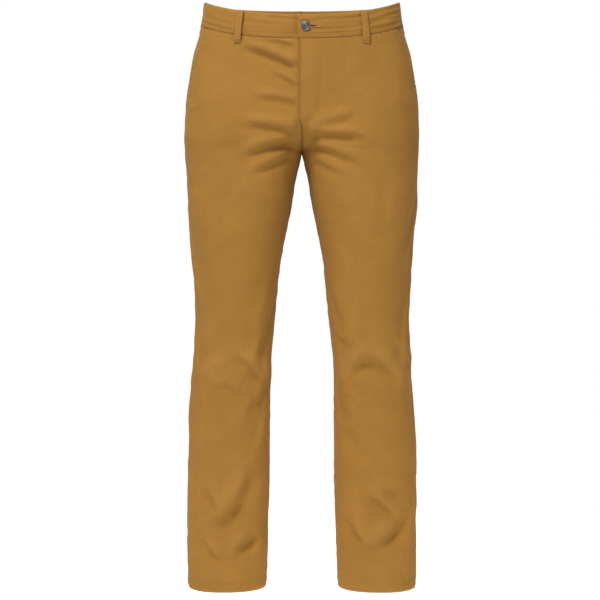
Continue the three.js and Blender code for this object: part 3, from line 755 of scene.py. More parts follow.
def drape(side, seed):
    """Hangs one leg as a coarse tube of slightly too much cloth and lets it settle, so
    that it buckles as twill does. Gives the settled shift of each point of the tube, in
    millimetres, on a grid of rows by u."""
    trunk_stops = np.linspace(0, 1, 15, endpoint=False)
    rise_stops = 1 + np.linspace(0, 1, 8, endpoint=False)
    stops = np.concatenate([trunk_stops, rise_stops, 2 + np.linspace(0, 1, 74)])
    turns = np.linspace(0, 1, 65)
    u = np.broadcast_to(turns[None, :], (len(stops), len(turns)))
    z = row_height(stops[:, None], u)
    x, y = section(u, z)
    start = np.stack([x, y, z], 2)
    normals = Cloth(start).normals
    rough = ripple(x, z, seed, 60, 9)[..., None] * normals * 0.8
    rows, cols = len(stops), len(turns) - 1
    points = (start + rough)[:, :-1].reshape(-1, 3)
    faces = []
    for r in range(rows - 1):
        trunk = stops[r + 1] < 1.9
        for c in range(cols - 1 if trunk else cols):
            n = (c + 1) % cols
            faces.append((r * cols + c, (r + 1) * cols + c, (r + 1) * cols + n, r * cols + n))
    obj = new_object(f"leg_drape_{side}", points, faces)
    held = obj.vertex_groups.new(name="sewn")
    for r in range(rows):
        for c in range(cols):
            if stops[r] <= 0.35 or (c in (0, cols - 1) and stops[r] < 2.05):
                weight = 1.0
            elif r == rows - 1 or c in (0, cols // 2):
                weight = 0.6
            else:
                weight = 0.06
            held.add([r * cols + c], weight, "REPLACE")
    cloth = obj.modifiers.new("settle", "CLOTH")
    settings = cloth.settings
    settings.quality = 6
    settings.mass = 0.26
    settings.tension_stiffness = 22
    settings.compression_stiffness = 22
    settings.shear_stiffness = 8
    settings.bending_stiffness = 1.6
    settings.tension_damping = 8
    settings.air_damping = 6
    settings.vertex_group_mass = "sewn"
    settings.pin_stiffness = 2.0
    settings.shrink_min = -0.035
    settings.shrink_max = -0.035
    cloth.point_cache.frame_start = 1
    cloth.point_cache.frame_end = SETTLE_FRAMES
    scene = bpy.context.scene
    for number in range(1, SETTLE_FRAMES + 1):
        scene.frame_set(number)
    apply_modifiers(obj)
    settled = np.empty(len(obj.data.vertices) * 3)
    obj.data.vertices.foreach_get("co", settled)
    scene.frame_set(1)
    mesh = obj.data
    bpy.data.objects.remove(obj)
    bpy.data.meshes.remove(mesh)
    settled = settled.reshape(rows, cols, 3) / MM
    settled = np.concatenate([settled, settled[:, :1]], 1)
    out = ((settled - start) * normals).sum(2)
    out[:, -1] = np.where(stops < 2, 0, out[:, -1])
    out[:, 0] = np.where(stops < 2, 0, out[:, 0])
    out -= out[stops > 2.05].mean()
    return stops, turns, np.clip(out, -5.0, 5.0)


SETTLE_FRAMES = 36
DRAPE_SHARE = 0.55


def draped(side, rows, u):
    """The settled drape's height at a panel's rows and u, in millimetres."""
    if side not in DRAPES:
        return np.zeros(u.shape)
    stops, turns, out = DRAPES[side]
    at_rows = np.stack([np.interp(rows, stops, out[:, k]) for k in range(out.shape[1])], 1)
    u = np.abs(u)
    return np.stack([np.interp(u[r], turns, at_rows[r]) for r in range(len(rows))])


SHEETS = {}


def panel_grid(start_u, end_u, fork_rows=22, trunk_rows=40, leg_rows=216, cols=78):
    """Base cloth of one leg panel. start_u and end_u give the edges, row by row."""
    rows = np.concatenate(
        [
            np.linspace(0, 1, trunk_rows, endpoint=False),
            np.linspace(1, 2, fork_rows, endpoint=False),
            2 + np.linspace(0, 1, leg_rows),
        ]
    )
    share = np.linspace(0, 1, cols)[None, :]
    first = start_u(rows)[:, None]
    last = end_u(rows)[:, None]
    u = first + (last - first) * share
    z = row_height(rows[:, None], u)
    x, y = section(u, z)
    points = np.stack([x, y, z], 2)
    soft = points.copy()
    for _ in range(14):
        soft[1:-1] = (soft[:-2] + 2 * soft[1:-1] + soft[2:]) / 4
    inward = ease(np.minimum(share, 1 - share) / 0.12)
    near_fork = ease((rows - 1.45) / 0.4) * ease((2.13 - rows) / 0.08)
    weight = (near_fork[:, None] * inward)[..., None]
    return rows, u, points * (1 - weight) + soft * weight


def seam_fields(cloth):
    """Distance to each edge of a panel: the first column, the last, the top and the hem."""
    first = cloth.across
    last = cloth.across[:, -1:] - cloth.across
    top = cloth.down
    hem = cloth.down[-1:, :] - cloth.down
    return first, last, top, hem


def puckers(distance, run, seed, reach=8.0, pitch=9.0, height=0.5):
    """The small gathers that a line of stitches pulls into the cloth beside it."""
    beat = np.sin(math.tau * run / pitch + 2.2 * ripple(run, run * 0.3, seed, pitch * 5))
    strength = 0.55 + 0.45 * ripple(run, run * 0.1, seed + 1, pitch * 9)
    return height * beat * strength * np.exp(-((distance / reach) ** 2))


# How far each row of stitches lies from its own edge, in millimetres.
HEM_ROW = 16.5
INSEAM_ROW = 6.5
MOUTH_ROW = 5.5
BAND_ROW = 7.5
# Where the front pocket bags end. The legs are draped from here down.
BAG_FOOT = -275


def groove(distance, width=1.6, depth=0.55):
    """The dip that a row of stitches pulls into the cloth."""
    return -depth * np.exp(-((distance / width) ** 2))


def leg_detail(cloth, rows, folds, mirror, seed):
    """Height field and colour marks of a leg panel: folds, seams, puckers and the hem; the marks are wear, a
    painted highlight on fold ridges and painted shade in the seams.
    """
    x, _, z = np.moveaxis(cloth.points, 2, 0)
    first, last, top, hem = seam_fields(cloth)
    away = ease(np.minimum(np.minimum(first, last) / 9.0, np.minimum(top, hem) / 12.0))
    near_seam = ease(np.minimum(np.minimum(first / 3.5, last / 9.0), np.minimum(top, hem) / 12.0))
    shape = folded(x, z, folds, mirror) * near_seam
    lie = 0.8 + 0.3 * ease((rows[:, None] - 1.7) / 0.5)
    shape += 0.8 * lie * away * ripple(x, z * 0.45, seed, 75)
    shape += 0.28 * away * ripple(x, z, seed + 3, 26)
    shape += groove(last) + groove(first, 1.4, 0.5)
    shape += groove(hem - HEM_ROW, 1.0, 0.5) + 0.35 * ease((17 - hem) / 3)
    shape += puckers(hem - 14, first + 0.6 * hem, seed + 5, 8, 10, 0.32) * ease(hem / 3)
    shape += puckers(top, first, seed + 7, 7, 8.5, 0.7) + groove(top, 1.6, 1.0)
    leg = ease((rows[:, None] - 1.98) / 0.05)
    stitched = np.abs(first - INSEAM_ROW)
    shape += (groove(stitched, 1.0, 0.6) + puckers(stitched, cloth.down, seed + 9, 6, 9, 0.35)) * leg
    shape += 0.5 * ease((INSEAM_ROW - first) / 2) * leg
    shape += puckers(last, cloth.down, seed + 11, 7, 11, 0.32)
    wear_and_ridge_highlight = 0.55 * np.exp(-((hem / 1.6) ** 2)) + 0.25 * np.exp(-(((first - 3) / 3) ** 2)) * leg
    wear_and_ridge_highlight += 0.3 * np.exp(-((last / 2.0) ** 2))
    # Painted highlight: raised fold ridges are made paler, as light falling on their tops would make them;
    # the rest of this field is wear at hems, seams and edges.
    wear_and_ridge_highlight += np.clip(folded(x, z, folds, mirror), 0, 3) * 0.05
    # Painted shade: dark lines in the seam crevices, along the hem stitching and under the waistband.
    painted_shade = 0.5 * np.exp(-((last / 0.8) ** 2)) + 0.5 * np.exp(-((first / 0.8) ** 2))
    painted_shade += 0.35 * np.exp(-(((hem - HEM_ROW) / 0.8) ** 2)) + 0.8 * np.exp(-((top / 1.6) ** 2))
    return shape, {"wear_and_ridge_highlight": wear_and_ridge_highlight, "painted_shade": painted_shade}


def under_fly(x, z):
    """How far the right front lies under the overlapping left front, in millimetres."""
    return 2.1 * ease((12 - x) / 6) * ease((z + FLY_END + 14) / 18)


FLY_ROWS_APART = 5.2


def fly_curve(inset):
    """The curved line of stitches that holds the fly facing, as a bent line of (x, z)."""
    turn = -FLY_END + 46
    a = np.linspace(0, math.pi / 2, 18)
    bend = np.stack([-4 + (36 - inset) * np.cos(a) ** 0.9, turn - (42 - inset) * np.sin(a)], 1)
    straight = np.array([(32 - inset, -BAND_HEIGHT - 1), (32 - inset, turn)])
    return np.vstack([straight, bend[1:]])


def left_front_edge(rows):
    z = row_height(rows, 0.0)
    edge = fly_edge(z)
    return u_at(edge, z)


def mouth_edge(rows):
    return mouth_u(row_height(rows, 0.42))


def front_seam(rows):
    return np.zeros(len(rows))


def side_seam(rows):
    return np.full(len(rows), 0.5)


def back_seam(rows):
    return np.ones(len(rows))


class PanelsOperator(bpy.types.Operator):
    """Makes the two front and two back leg panels, with their folds, seams and hems"""

    bl_idname = "trousers.panels"
    bl_label = "Leg panels"

    def execute(self, context):
        thick = context.scene.trousers_cloth.thickness / MM
        plans = (
            ("front_left", left_front_edge, mouth_edge, FRONT_LEFT_FOLDS, 1, 11, False),
            ("front_right", front_seam, mouth_edge, FRONT_RIGHT_FOLDS, -1, 23, True),
            ("back_left", side_seam, back_seam, BACK_FOLDS, 1, 37, False),
            ("back_right", side_seam, back_seam, BACK_FOLDS, 1, 53, True),
        )
        DRAPES["left"] = drape("left", 201)
        DRAPES["right"] = drape("right", 317)
        for name, start, end, folds, side, seed, mirror in plans:
            rows, u, points = panel_grid(start, end)
            front = name.startswith("front")
            cloth = Cloth(points, mirror)
            if front:
                shape, marks = leg_detail(cloth, rows, folds, side, seed)
            else:
                flipped = Cloth(points[:, ::-1], mirror)
                shape, marks = leg_detail(flipped, rows, folds, side, seed)
                shape = shape[:, ::-1]
                marks = {k: v[:, ::-1] for k, v in marks.items()}
            x, _, z = np.moveaxis(points, 2, 0)
            first, last, top, hem = seam_fields(cloth)
            below_bag = ease((BAG_FOOT - z) / 60)
            inside = ease(np.minimum(first, last) / 14) * below_bag * ease(hem / 10)
            shape = shape + DRAPE_SHARE * inside * draped(name.split("_")[1], rows, u)
            joined = ease((-FLY_END - z) / 6) if front else 1.0
            shape = shape * (1 - joined * np.exp(-(((first if front else last) / 1.2) ** 2)))
            if name == "front_right":
                shape = shape - under_fly(x, z)
            if front:
                last = cloth.across[:, -1:] - cloth.across
                mouth = (z > MOUTH_END) & (z < 40)
                shape += np.where(mouth, 0.9 * np.exp(-(((last - 1) / 2.6) ** 2)), 0)
                sewn = groove(last - MOUTH_ROW, 1.2, 1.1)
                sewn = sewn + puckers(last - 4, cloth.down, seed + 13, 6, 8, 0.45)
                shape += np.where(mouth, sewn, 0)
            if name == "front_left":
                free = ease((z + FLY_END + 2) / 10)
                first = cloth.across
                edge = 0.5 * np.exp(-(((first - 0.8) / 1.5) ** 2)) + groove(first - 2.6, 0.9, 0.5)
                shape += free * (edge + puckers(first - 2, cloth.down, 71, 7, 8, 0.7))
                for inset, depth in ((0.0, 0.85), (FLY_ROWS_APART, 0.5)):
                    away_from, place_on = along_line(x, z, fly_curve(inset))
                    beside = puckers(away_from, place_on * 190, 73 + int(inset), 6, 7, 0.5)
                    shape += (groove(away_from, 1.1, depth) + beside) * (top > 1)
            tucked = 1 - ease(top / 4)
            shape = shape * (1 - tucked) - 1.5 * tucked
            cloth = cloth.raised(shape)
            SHEETS[name] = cloth
            obj = cloth_object(f"{name}_panel", cloth, thick, marks)
            if name == "front_left":
                place_over_fold(obj, "twill", ("front_panel_left", "fly_flap"))
            else:
                place(obj, "twill", "trousers", (f"{name.split('_')[0]}_panel_{name.split('_')[1]}",))
        return {"FINISHED"}


def band_cloth(start_x):
    """The waistband's outline, swept from its front end round to the centre back."""
    stops = np.concatenate([np.linspace(0, 0.3, 70, endpoint=False), np.linspace(0.3, 1, 100)])
    start_u = float(u_at(start_x, -20.0))
    u = start_u + (1.0 - start_u) * stops
    # Round the section: down the outer face, under the foot, up the inner face and over.
    turn = 7
    face = np.linspace(0, 1, 22)
    top_r = 1.05
    profile = [(f, 0.0) for f in face]
    foot = [(1 + 0.022 * math.sin(a), (1 - math.cos(a)) * top_r) for a in np.linspace(0, math.pi, turn)[1:-1]]
    inner = [(1 - f, 2 * top_r) for f in np.linspace(0, 1, 14)]
    head = [(-0.022 * math.sin(a), (1 + math.cos(a)) * top_r) for a in np.linspace(0, math.pi, turn)[1:-1]]
    ring = np.array(profile + foot + inner + head)
    return u, ring, len(profile)


def closed_band(name, points, uv, marks, columns, mirror):
    """A closed band from rings of points: rows go round the section, columns along it."""
    rows, all_cols = points.shape[:2]
    kept = points[:, columns]
    cols = kept.shape[1]
    uv = uv.reshape(rows, all_cols, 2)[:, columns].reshape(-1, 2)
    corners = kept.reshape(-1, 3)
    quads = []
    for r in range(rows):
        n = (r + 1) % rows * cols
        quads += [(r * cols + c, n + c, n + c + 1, r * cols + c + 1) for c in range(cols - 1)]
    quads.append([r * cols for r in reversed(range(rows))])
    quads.append([r * cols + cols - 1 for r in range(rows)])
    if mirror:
        corners = corners * (-1, 1, 1)
        quads = [q[::-1] for q in quads]
    obj = new_object(name, corners, quads, uv)
    for key, field in marks.items():
        attribute = obj.data.attributes.new(key, "FLOAT", "POINT")
        attribute.data.foreach_set("value", field[:, columns].ravel().astype(np.float32))
    return obj


class WaistbandOperator(bpy.types.Operator):
    """Makes the waistband's two halves, their lining and the buttonhole"""

    bl_idname = "trousers.waistband"
    bl_label = "Waistband"

    def execute(self, context):
        for side, start_x, lap, seed, mirror in (
            ("left", -8.0, 0.0, 5, False),
            ("right", -27.0, 2.5, 9, True),
        ):
            u, ring, faces_count = band_cloth(start_x)
            uu = u[None, :]
            share = ring[:, 0][:, None]
            depth = ring[:, 1][:, None]
            z = top_edge(uu) - BAND_HEIGHT * share
            x, y = section(uu, z)
            x, y = np.broadcast_arrays(x, y)
            flat = Cloth(np.stack([x, y, np.broadcast_to(z, x.shape)], 2)[:faces_count], mirror)
            n_front = flat.normals
            normals = np.concatenate([n_front, np.repeat(n_front[-1:], len(ring) - faces_count, 0)])
            last_rows = np.arange(faces_count, len(ring))
            for k in last_rows:
                near = int(np.clip(round(ring[k, 0] * (faces_count - 1)), 0, faces_count - 1))
                normals[k] = n_front[near]
            run = np.broadcast_to(flat.across[:1], x.shape)
            high = (1 - share) * BAND_HEIGHT
            bulge = 0.9 * np.sin(math.pi * np.clip(share, 0, 1)) ** 0.7
            rolls = 0.8 * ripple(run * 0.16, high * 1.5, seed, 15) + 0.35 * ripple(run, high, seed + 1, 30)
            rolls = rolls * ease(high / 12) * ease((BAND_HEIGHT - high) / 6)
            seam = puckers(high, run, seed + 2, 6, 8.5, 0.75) + groove(high - 0.6, 1.3, 1.0)
            line = groove(high - BAND_ROW, 1.0, 0.6) + puckers(high - BAND_ROW, run, seed + 3, 4, 9, 0.3)
            crest = puckers(BAND_HEIGHT - high, run, seed + 4, 8, 12, 0.3)
            shape = np.broadcast_to(bulge, x.shape) + (rolls + seam + line + crest) * (share < 1.001)
            sunk = lap * ease((15 - x) / 5) if lap else 0
            outward = shape * np.where(depth > 1.0, 0.6, 1.0) - depth - sunk
            points = np.stack([x, y, np.broadcast_to(z, x.shape)], 2) + normals * outward[..., None]
            rows, cols = points.shape[:2]
            across = np.broadcast_to(run, (rows, cols))
            step = np.linalg.norm(np.diff(points, axis=0), axis=2)
            down = np.concatenate([np.zeros((1, cols)), np.cumsum(step, 0)], 0)
            uv = np.stack([across.ravel(), -down.ravel()], 1)
            wear_and_ridge_highlight = 0.4 * np.exp(-(((BAND_HEIGHT - high) / 2.0) ** 2))
            wear_and_ridge_highlight = wear_and_ridge_highlight + 0.25 * np.exp(-(((high - 1) / 2) ** 2))
            # Painted shade: darker colour in the gathers along the seam and in the stitch groove.
            gathered = 0.5 + 0.5 * np.sin(math.tau * run / 8.5 + 2.2 * ripple(run, run * 0.3, seed + 2, 42))
            painted_shade = (0.3 + 0.7 * gathered) * np.exp(-((high / 1.3) ** 2))
            painted_shade = painted_shade + 0.25 * np.exp(-(((high - BAND_ROW) / 0.8) ** 2))
            marks = {"wear_and_ridge_highlight": wear_and_ridge_highlight + 0 * x, "painted_shade": painted_shade + 0 * x}
            SHEETS[f"band_{side}"] = Cloth(points[:faces_count], mirror)
            if side == "right":
                obj = closed_band("waistband_right_visual", points, uv, marks, slice(None), mirror)
                place(obj, "twill", "trousers", ("waistband_right", "waistband_underlap"))
                continue
            # The seam between the two stretches lies under the front belt loop.
            cut = int(np.argmin(np.abs(u - u_at(107, 0))))
            SHEETS["band_cut"] = cut
            front_end = closed_band("waistband_end_visual", points, uv, marks, slice(0, cut + 1), mirror)
            cut_buttonhole(front_end)
            place_over_fold(front_end, "twill", ("waistband_tab",))
            rest = closed_band("waistband_left_visual", points, uv, marks, slice(cut, None), mirror)
            place(rest, "twill", "trousers", ("waistband_left",))
        for side, mirror in (("left", False), ("right", True)):
            start = float(u_at(52, 0))
            u = np.linspace(start, 0.9995, 110)[None, :]
            share = np.linspace(0.2, 0.985, 20)[:, None]
            z = top_edge(u) - BAND_HEIGHT * share
            x, y = section(u, z)
            cloth = Cloth(np.stack([x, y, z], 2), mirror)
            cloth = cloth.raised(-4.2 + 0.25 * ripple(cloth.across, cloth.down, 81, 24))
            obj = cloth_object(f"waistband_lining_{side}_visual", cloth, 0.6)
            place(obj, "lining", "trousers", (f"waistband_lining_{side}",))
        return {"FINISHED"}


def slot_outline(centre_x, centre_z, half, radius, eye, count=14):
    """A keyhole: a narrow slit with a round eye at its front end."""
    points = []
    for a in np.linspace(math.radians(35), math.radians(325), count):
        points.append((centre_x - half + eye * math.cos(a), centre_z + eye * math.sin(a)))
    for a in np.linspace(-math.pi / 2, math.pi / 2, 7):
        points.append((centre_x + half + radius * math.cos(a), centre_z + radius * math.sin(a)))
    return np.array(points)


HOLE_MID = (HOLE_END + 2.0) / 2
HOLE_HALF = (HOLE_END - 2.0) / 2


def cut_buttonhole(band):
    outline = slot_outline(HOLE_MID + 1.5, -BUTTON_DROP, HOLE_HALF - 2, 0.6, 2.4)[::-1]
    count = len(outline)
    points = [(x, -105, z) for x, z in outline] + [(x, -80, z) for x, z in outline]
    faces = [(i, (i + 1) % count, count + (i + 1) % count, count + i) for i in range(count)]
    faces += [list(range(count))[::-1], list(range(count, 2 * count))]
    cutter = new_object("buttonhole_cutter", points, faces, smooth=False)
    cut = band.modifiers.new("hole", "BOOLEAN")
    cut.operation = "DIFFERENCE"
    cut.solver = "EXACT"
    cut.object = cutter
    apply_modifiers(band)
    mesh = cutter.data
    bpy.data.objects.remove(cutter)
    bpy.data.meshes.remove(mesh)


class BeltLoopsOperator(bpy.types.Operator):
    """Makes the belt loops, each a folded strip held down by a bar of stitches at both ends"""

    bl_idname = "trousers.belt_loops"
    bl_label = "Belt loops"

    def execute(self, context):
        plans = [
            ("front_left", float(u_at(107, 0)), 5, False),
            ("front_right", float(u_at(107, 0)), 5, True),
            ("side_left", 0.506, 0, False),
            ("side_right", 0.506, 0, True),
            ("back_left", 0.76, 0, False),
            ("back_right", 0.76, 0, True),
            ("centre_back", 1.0, 0, False),
        ]
        for name, u, lean, mirror in plans:
            at_side = name.startswith("side")
            make_loop(name, u, lean, mirror, 0.3 if at_side else 3.3, -1.0 if at_side else 0.0)
        return {"FINISHED"}


def make_loop(name, u, lean, mirror, bow, set_in):
    width, length, thick = 13.6, 58.0, 1.5
    top = float(top_edge(u)) + 0.4
    e = 0.004
    mid_z = top - length / 2
    here = np.array([*section(u, mid_z), mid_z], float)
    if u > 0.999:
        normal = np.array([0.0, 1.0, 0.0])
    else:
        a = np.array(section(u - e, mid_z))
        b = np.array(section(u + e, mid_z))
        t = (b - a) / np.linalg.norm(b - a)
        normal = np.array([t[1], -t[0], 0.0])
    across = np.array([-normal[1], normal[0], 0.0])
    stops = np.linspace(0, 1, 40)
    # Section of the strip: a flat tube with rounded sides, its middle a little higher.
    half = []
    for s in np.linspace(-1, 1, 15):
        half.append((s, (1 - abs(s) ** 6) ** 0.5 * (0.82 + 0.18 * math.cos(s * math.pi / 2))))
    ring = [(s, 0.1 + h * 0.9) for s, h in half] + [(s, -0.12) for s, _ in reversed(half[1:-1])]
    points = []
    seed = sum(map(ord, name))
    rng = np.random.default_rng(seed)
    twist = rng.uniform(-0.5, 0.5)
    for t in stops:
        z = top - length * t
        p = np.array([*section(u, z), z], float)
        reach = (p - here) @ normal
        rise = min(1.0, t / 0.13, (1 - t) / 0.2)
        stand = 0.9 + set_in + bow * math.sin(rise * math.pi / 2) ** 1.5 - 1.5 * float(ease((t - 0.72) / 0.2))
        fat = thick * (1.0 + 0.75 * float(ease((t - 0.84) / 0.05)) * float(ease((1.02 - t) / 0.05)))
        pinch = -0.5 * math.exp(-(((t - 0.9) / 0.02) ** 2)) - 0.5 * math.exp(-(((t - 0.045) / 0.02) ** 2))
        wave = 0.5 * math.sin(t * 13 + seed) + twist * math.sin(t * math.pi)
        for s, h in ring:
            tilt = s * 0.25 * wave
            side = s * width / 2 * (1 - 0.04 * math.exp(-(((t - 0.5) / 0.3) ** 2))) + lean * t + 0.3 * wave
            q = here + normal * (reach + stand + h * fat + pinch + tilt) + across * side
            points.append((q[0], q[1], z))
    rows, cols = len(stops), len(ring)
    faces = []
    for r in range(rows - 1):
        for c in range(cols):
            n = (c + 1) % cols
            faces.append((r * cols + c, (r + 1) * cols + c, (r + 1) * cols + n, r * cols + n))
    faces.append([c for c in range(cols)])
    faces.append([(rows - 1) * cols + c for c in reversed(range(cols))])
    uv = [(i % cols * 1.1, -(i // cols) * length / rows) for i in range(len(points))]
    arr = np.array(points)
    if mirror:
        arr = arr * (-1, 1, 1)
        faces = [f[::-1] for f in faces]
    obj = new_object(f"belt_loop_{name}_visual", arr, faces, uv)
    wear_and_ridge_highlight = np.array([0.35 if abs(ring[i % cols][0]) > 0.8 else 0.08 for i in range(len(points))])
    # Painted shadow: both side edges of the loop are darkened, as the gaps beside it would shade them.
    painted_edge_shadow = np.array([0.55 if abs(ring[i % cols][0]) > 0.97 else 0.0 for i in range(len(points))])
    for key, field in (("wear_and_ridge_highlight", wear_and_ridge_highlight), ("painted_shade", painted_edge_shadow)):
        attribute = obj.data.attributes.new(key, "FLOAT", "POINT")
        attribute.data.foreach_set("value", field.astype(np.float32))
    place(obj, "twill", "trousers", (f"belt_loop_{name}",))
    runs = []
    flip = np.array([-1, 1, 1]) if mirror else np.array([1, 1, 1])
    grid = arr.reshape(rows, cols, 3)
    face_n = normal * flip
    for s in (-0.62, 0.62):
        c = (s + 1) / 2 * 14
        i = int(c)
        path = grid[1:-1, i] * (1 - (c - i)) + grid[1:-1, i + 1] * (c - i)
        runs.append((path, np.repeat(face_n[None], len(path), 0)))
    for row in (2, 35):
        centre = grid[row, 7] + face_n * 0.1
        runs += bar_tack(centre, across * flip, face_n, width * 0.86, 1.9)
    thread = stitch_mesh(f"belt_loop_{name}_stitching", runs, 2.6, 1.9, 0.22)
    place(thread, "thread")


def turned(name, profile, segments, at, finish, body, stands_for, rubbed=None):
    """A round piece about the -Y axis: profile is (radius, height) from the back forwards."""
    points = []
    faces = []
    for r, h in profile:
        for k in range(segments):
            a = math.tau * k / segments
            points.append((at[0] + r * math.cos(a), at[1] - h, at[2] + r * math.sin(a)))
    for i in range(len(profile) - 1):
        for k in range(segments):
            n = (k + 1) % segments
            a, b = i * segments, (i + 1) * segments
            faces.append((a + k, a + n, b + n, b + k))
    faces.append([k for k in reversed(range(segments))])
    faces.append([(len(profile) - 1) * segments + k for k in range(segments)])
    obj = new_object(name, points, faces)
    if rubbed is not None:
        attribute = obj.data.attributes.new("rubbed", "FLOAT", "POINT")
        attribute.data.foreach_set("value", np.repeat(rubbed, segments).astype(np.float32))
    return place(obj, finish, body, stands_for)


class ButtonOperator(bpy.types.Operator):
    """Makes the waist button: a domed metal head with a beaded ring, and its tack"""

    bl_idname = "trousers.button"
    bl_label = "Waist button"

    def execute(self, context):
        face = float(section(u_at(BUTTON_X, -BUTTON_DROP), -BUTTON_DROP)[1])
        at = (BUTTON_X, face - 1.1, -BUTTON_DROP)
        R = BUTTON_RADIUS
        profile = [
            (0.01, 0.2), (R * 0.55, 0.2), (R - 1.3, 0.25), (R - 0.5, 0.55), (R - 0.08, 1.05), (R, 1.5),
            (R - 0.2, 2.0), (R - 0.65, 2.4), (R - 1.2, 2.55), (R - 1.7, 2.45), (R - 2.0, 2.2),
            (R - 2.25, 2.1), (R - 2.6, 2.2), (R * 0.55, 2.5), (R * 0.5, 2.62), (R * 0.42, 2.55),
            (R * 0.38, 2.35), (R * 0.3, 2.35), (R * 0.22, 2.6), (R * 0.12, 2.75), (0.02, 2.8),
        ]
        rubbed = [0, 0, 0, 0.1, 0.3, 0.4, 0.6, 0.8, 0.7, 0.3, 0, 0, 0.1, 0.5, 0.7, 0.4, 0, 0, 0.4, 0.6, 0.6]
        turned("waist_button_visual", profile, 72, at, "gunmetal", "button", ("waist_button_head",), rubbed)
        points = []
        faces = []
        for k in range(16):
            a = math.tau * k / 16
            centre = np.array([at[0] + R * 0.66 * math.cos(a), at[1] - 2.3, at[2] + R * 0.66 * math.sin(a)])
            base = len(points)
            for i, t in enumerate((0.0, 0.5, 1.0)):
                for j in range(8):
                    b = math.tau * j / 8
                    rad = 0.42 * math.cos(t * math.pi / 2.2)
                    stand = -0.34 * math.sin(t * math.pi / 2)
                    points.append(centre + (rad * math.cos(b), stand, rad * math.sin(b)))
            for i in range(2):
                for j in range(8):
                    n = (j + 1) % 8
                    p, q = base + i * 8, base + (i + 1) * 8
                    faces.append((p + j, p + n, q + n, q + j))
            faces.append([base + j for j in reversed(range(8))])
            faces.append([base + 16 + j for j in range(8)])
        beads = new_object("waist_button_beading", points, faces)
        attribute = beads.data.attributes.new("rubbed", "FLOAT", "POINT")
        attribute.data.foreach_set("value", [0.7] * len(points))
        place(beads, "gunmetal", "button")
        tack = [
            (0.01, -6.0), (4.2, -5.9), (4.9, -5.6), (5.0, -5.2), (4.6, -4.95), (2.0, -4.9),
            (1.95, -1.0), (1.95, 0.1), (0.01, 0.15),
        ]
        turned("waist_button_tack_visual", tack, 40, at, "gunmetal", "trousers", ("waist_button_tack",))
        return {"FINISHED"}


class FrontPocketsOperator(bpy.types.Operator):
    """Makes the slanted front pockets: the facing behind each mouth and the folded bag"""

    bl_idname = "trousers.front_pockets"
    bl_label = "Front pockets"

    def execute(self, context):
        for side, mirror in (("left", False), ("right", True)):
            share = np.linspace(0, 1, 30)[None, :]
            down = np.linspace(0, 1, 60)[:, None]
            nominal = band_seam(0.42) + (MOUTH_END - 6 - band_seam(0.42)) * down
            edge = mouth_u(nominal)
            u = edge - 0.05 + (0.4995 - edge + 0.05) * share
            top_z = band_seam(u) - 0.6
            z = top_z + (MOUTH_END - 6 - top_z) * down
            x, y = section(u, z)
            base = Cloth(np.stack([x, y, np.broadcast_to(z, x.shape)], 2), mirror)
            rise = np.clip((u - edge) / np.maximum(0.004, 0.4995 - edge), 0, 1)
            sunk = np.where(edge > 0.492, 1.0, 1 - rise**0.8)
            depth = 0.35 + 2.0 * sunk
            gathers = puckers(base.across[:, -1:] - base.across, base.down, 91, 7, 11, 0.3)
            cloth = base.raised(-depth + gathers + 0.2 * ripple(base.across, base.down, 93, 20))
            last = cloth.across[:, -1:] - cloth.across
            wear_and_ridge_highlight = 0.25 * np.exp(-((last / 2) ** 2))
            # Painted shade: a dark strip along the mouth edge, where the front panel overhangs the facing.
            painted_shade = 0.75 * np.exp(-(((u - edge) / 0.006) ** 2))
            marks = {"wear_and_ridge_highlight": wear_and_ridge_highlight, "painted_shade": painted_shade}
            obj = cloth_object(f"pocket_facing_{side}_visual", cloth, 0.7, marks)
            place(obj, "twill", "trousers", (f"pocket_facing_{side}",))
            SHEETS[f"facing_{side}"] = cloth
            bag = cloth_object(f"pocket_bag_{side}_visual", self.bag(mirror), 0.45)
            place(bag, "lining", "trousers", (f"pocket_bag_{side}",))
        return {"FINISHED"}

    def bag(self, mirror):
        """One layer of pocketing, folded round its inner edge."""
        r = np.linspace(0, 1, 46)[:, None]
        c = np.linspace(0, 1, 72)[None, :]

        def drop(u):
            return band_seam(u) - 1.0 + (BAG_FOOT - band_seam(u) + 1.0) * r

        z_mid = drop(np.float64(0.4))
        mouth = np.where(z_mid > MOUTH_END, mouth_u(z_mid) - 0.008, 0.49)
        turn_u = u_at(96, z_mid)
        near = 7.0
        far = near + 4.0 * np.minimum(1, 1.25 - r)
        front_u = mouth + (turn_u + 0.012 - mouth) * (c / 0.45)
        t = np.clip((c - 0.55) / 0.45, 0, 1)
        back_u = turn_u + 0.012 + (0.484 - turn_u - 0.012) * t
        bend = np.clip((c - 0.45) / 0.1, 0, 1) * math.pi
        fold_u = turn_u + 0.012 - 0.008 * np.sin(bend)
        u = np.where(c < 0.45, front_u, np.where(c > 0.55, back_u, fold_u))
        shut = np.where(z_mid > MOUTH_END, 1.0, 1 - 0.5 * t**6)
        turned_depth = (near + far) / 2 - (far - near) / 2 * np.cos(bend)
        back_depth = near + (far - near) * shut
        depth = np.where(c < 0.45, near, np.where(c > 0.55, back_depth, turned_depth))
        z = drop(u)
        x, y = section(u, z)
        n = Cloth(np.stack([x, y, z], 2)).normals
        flip = np.sign((n * np.stack([x - 105, y, 0 * z], 2)).sum(2))[..., None]
        points = np.stack([x, y, z], 2) - n * flip * depth[..., None]
        return Cloth(points[:, ::-1], mirror)


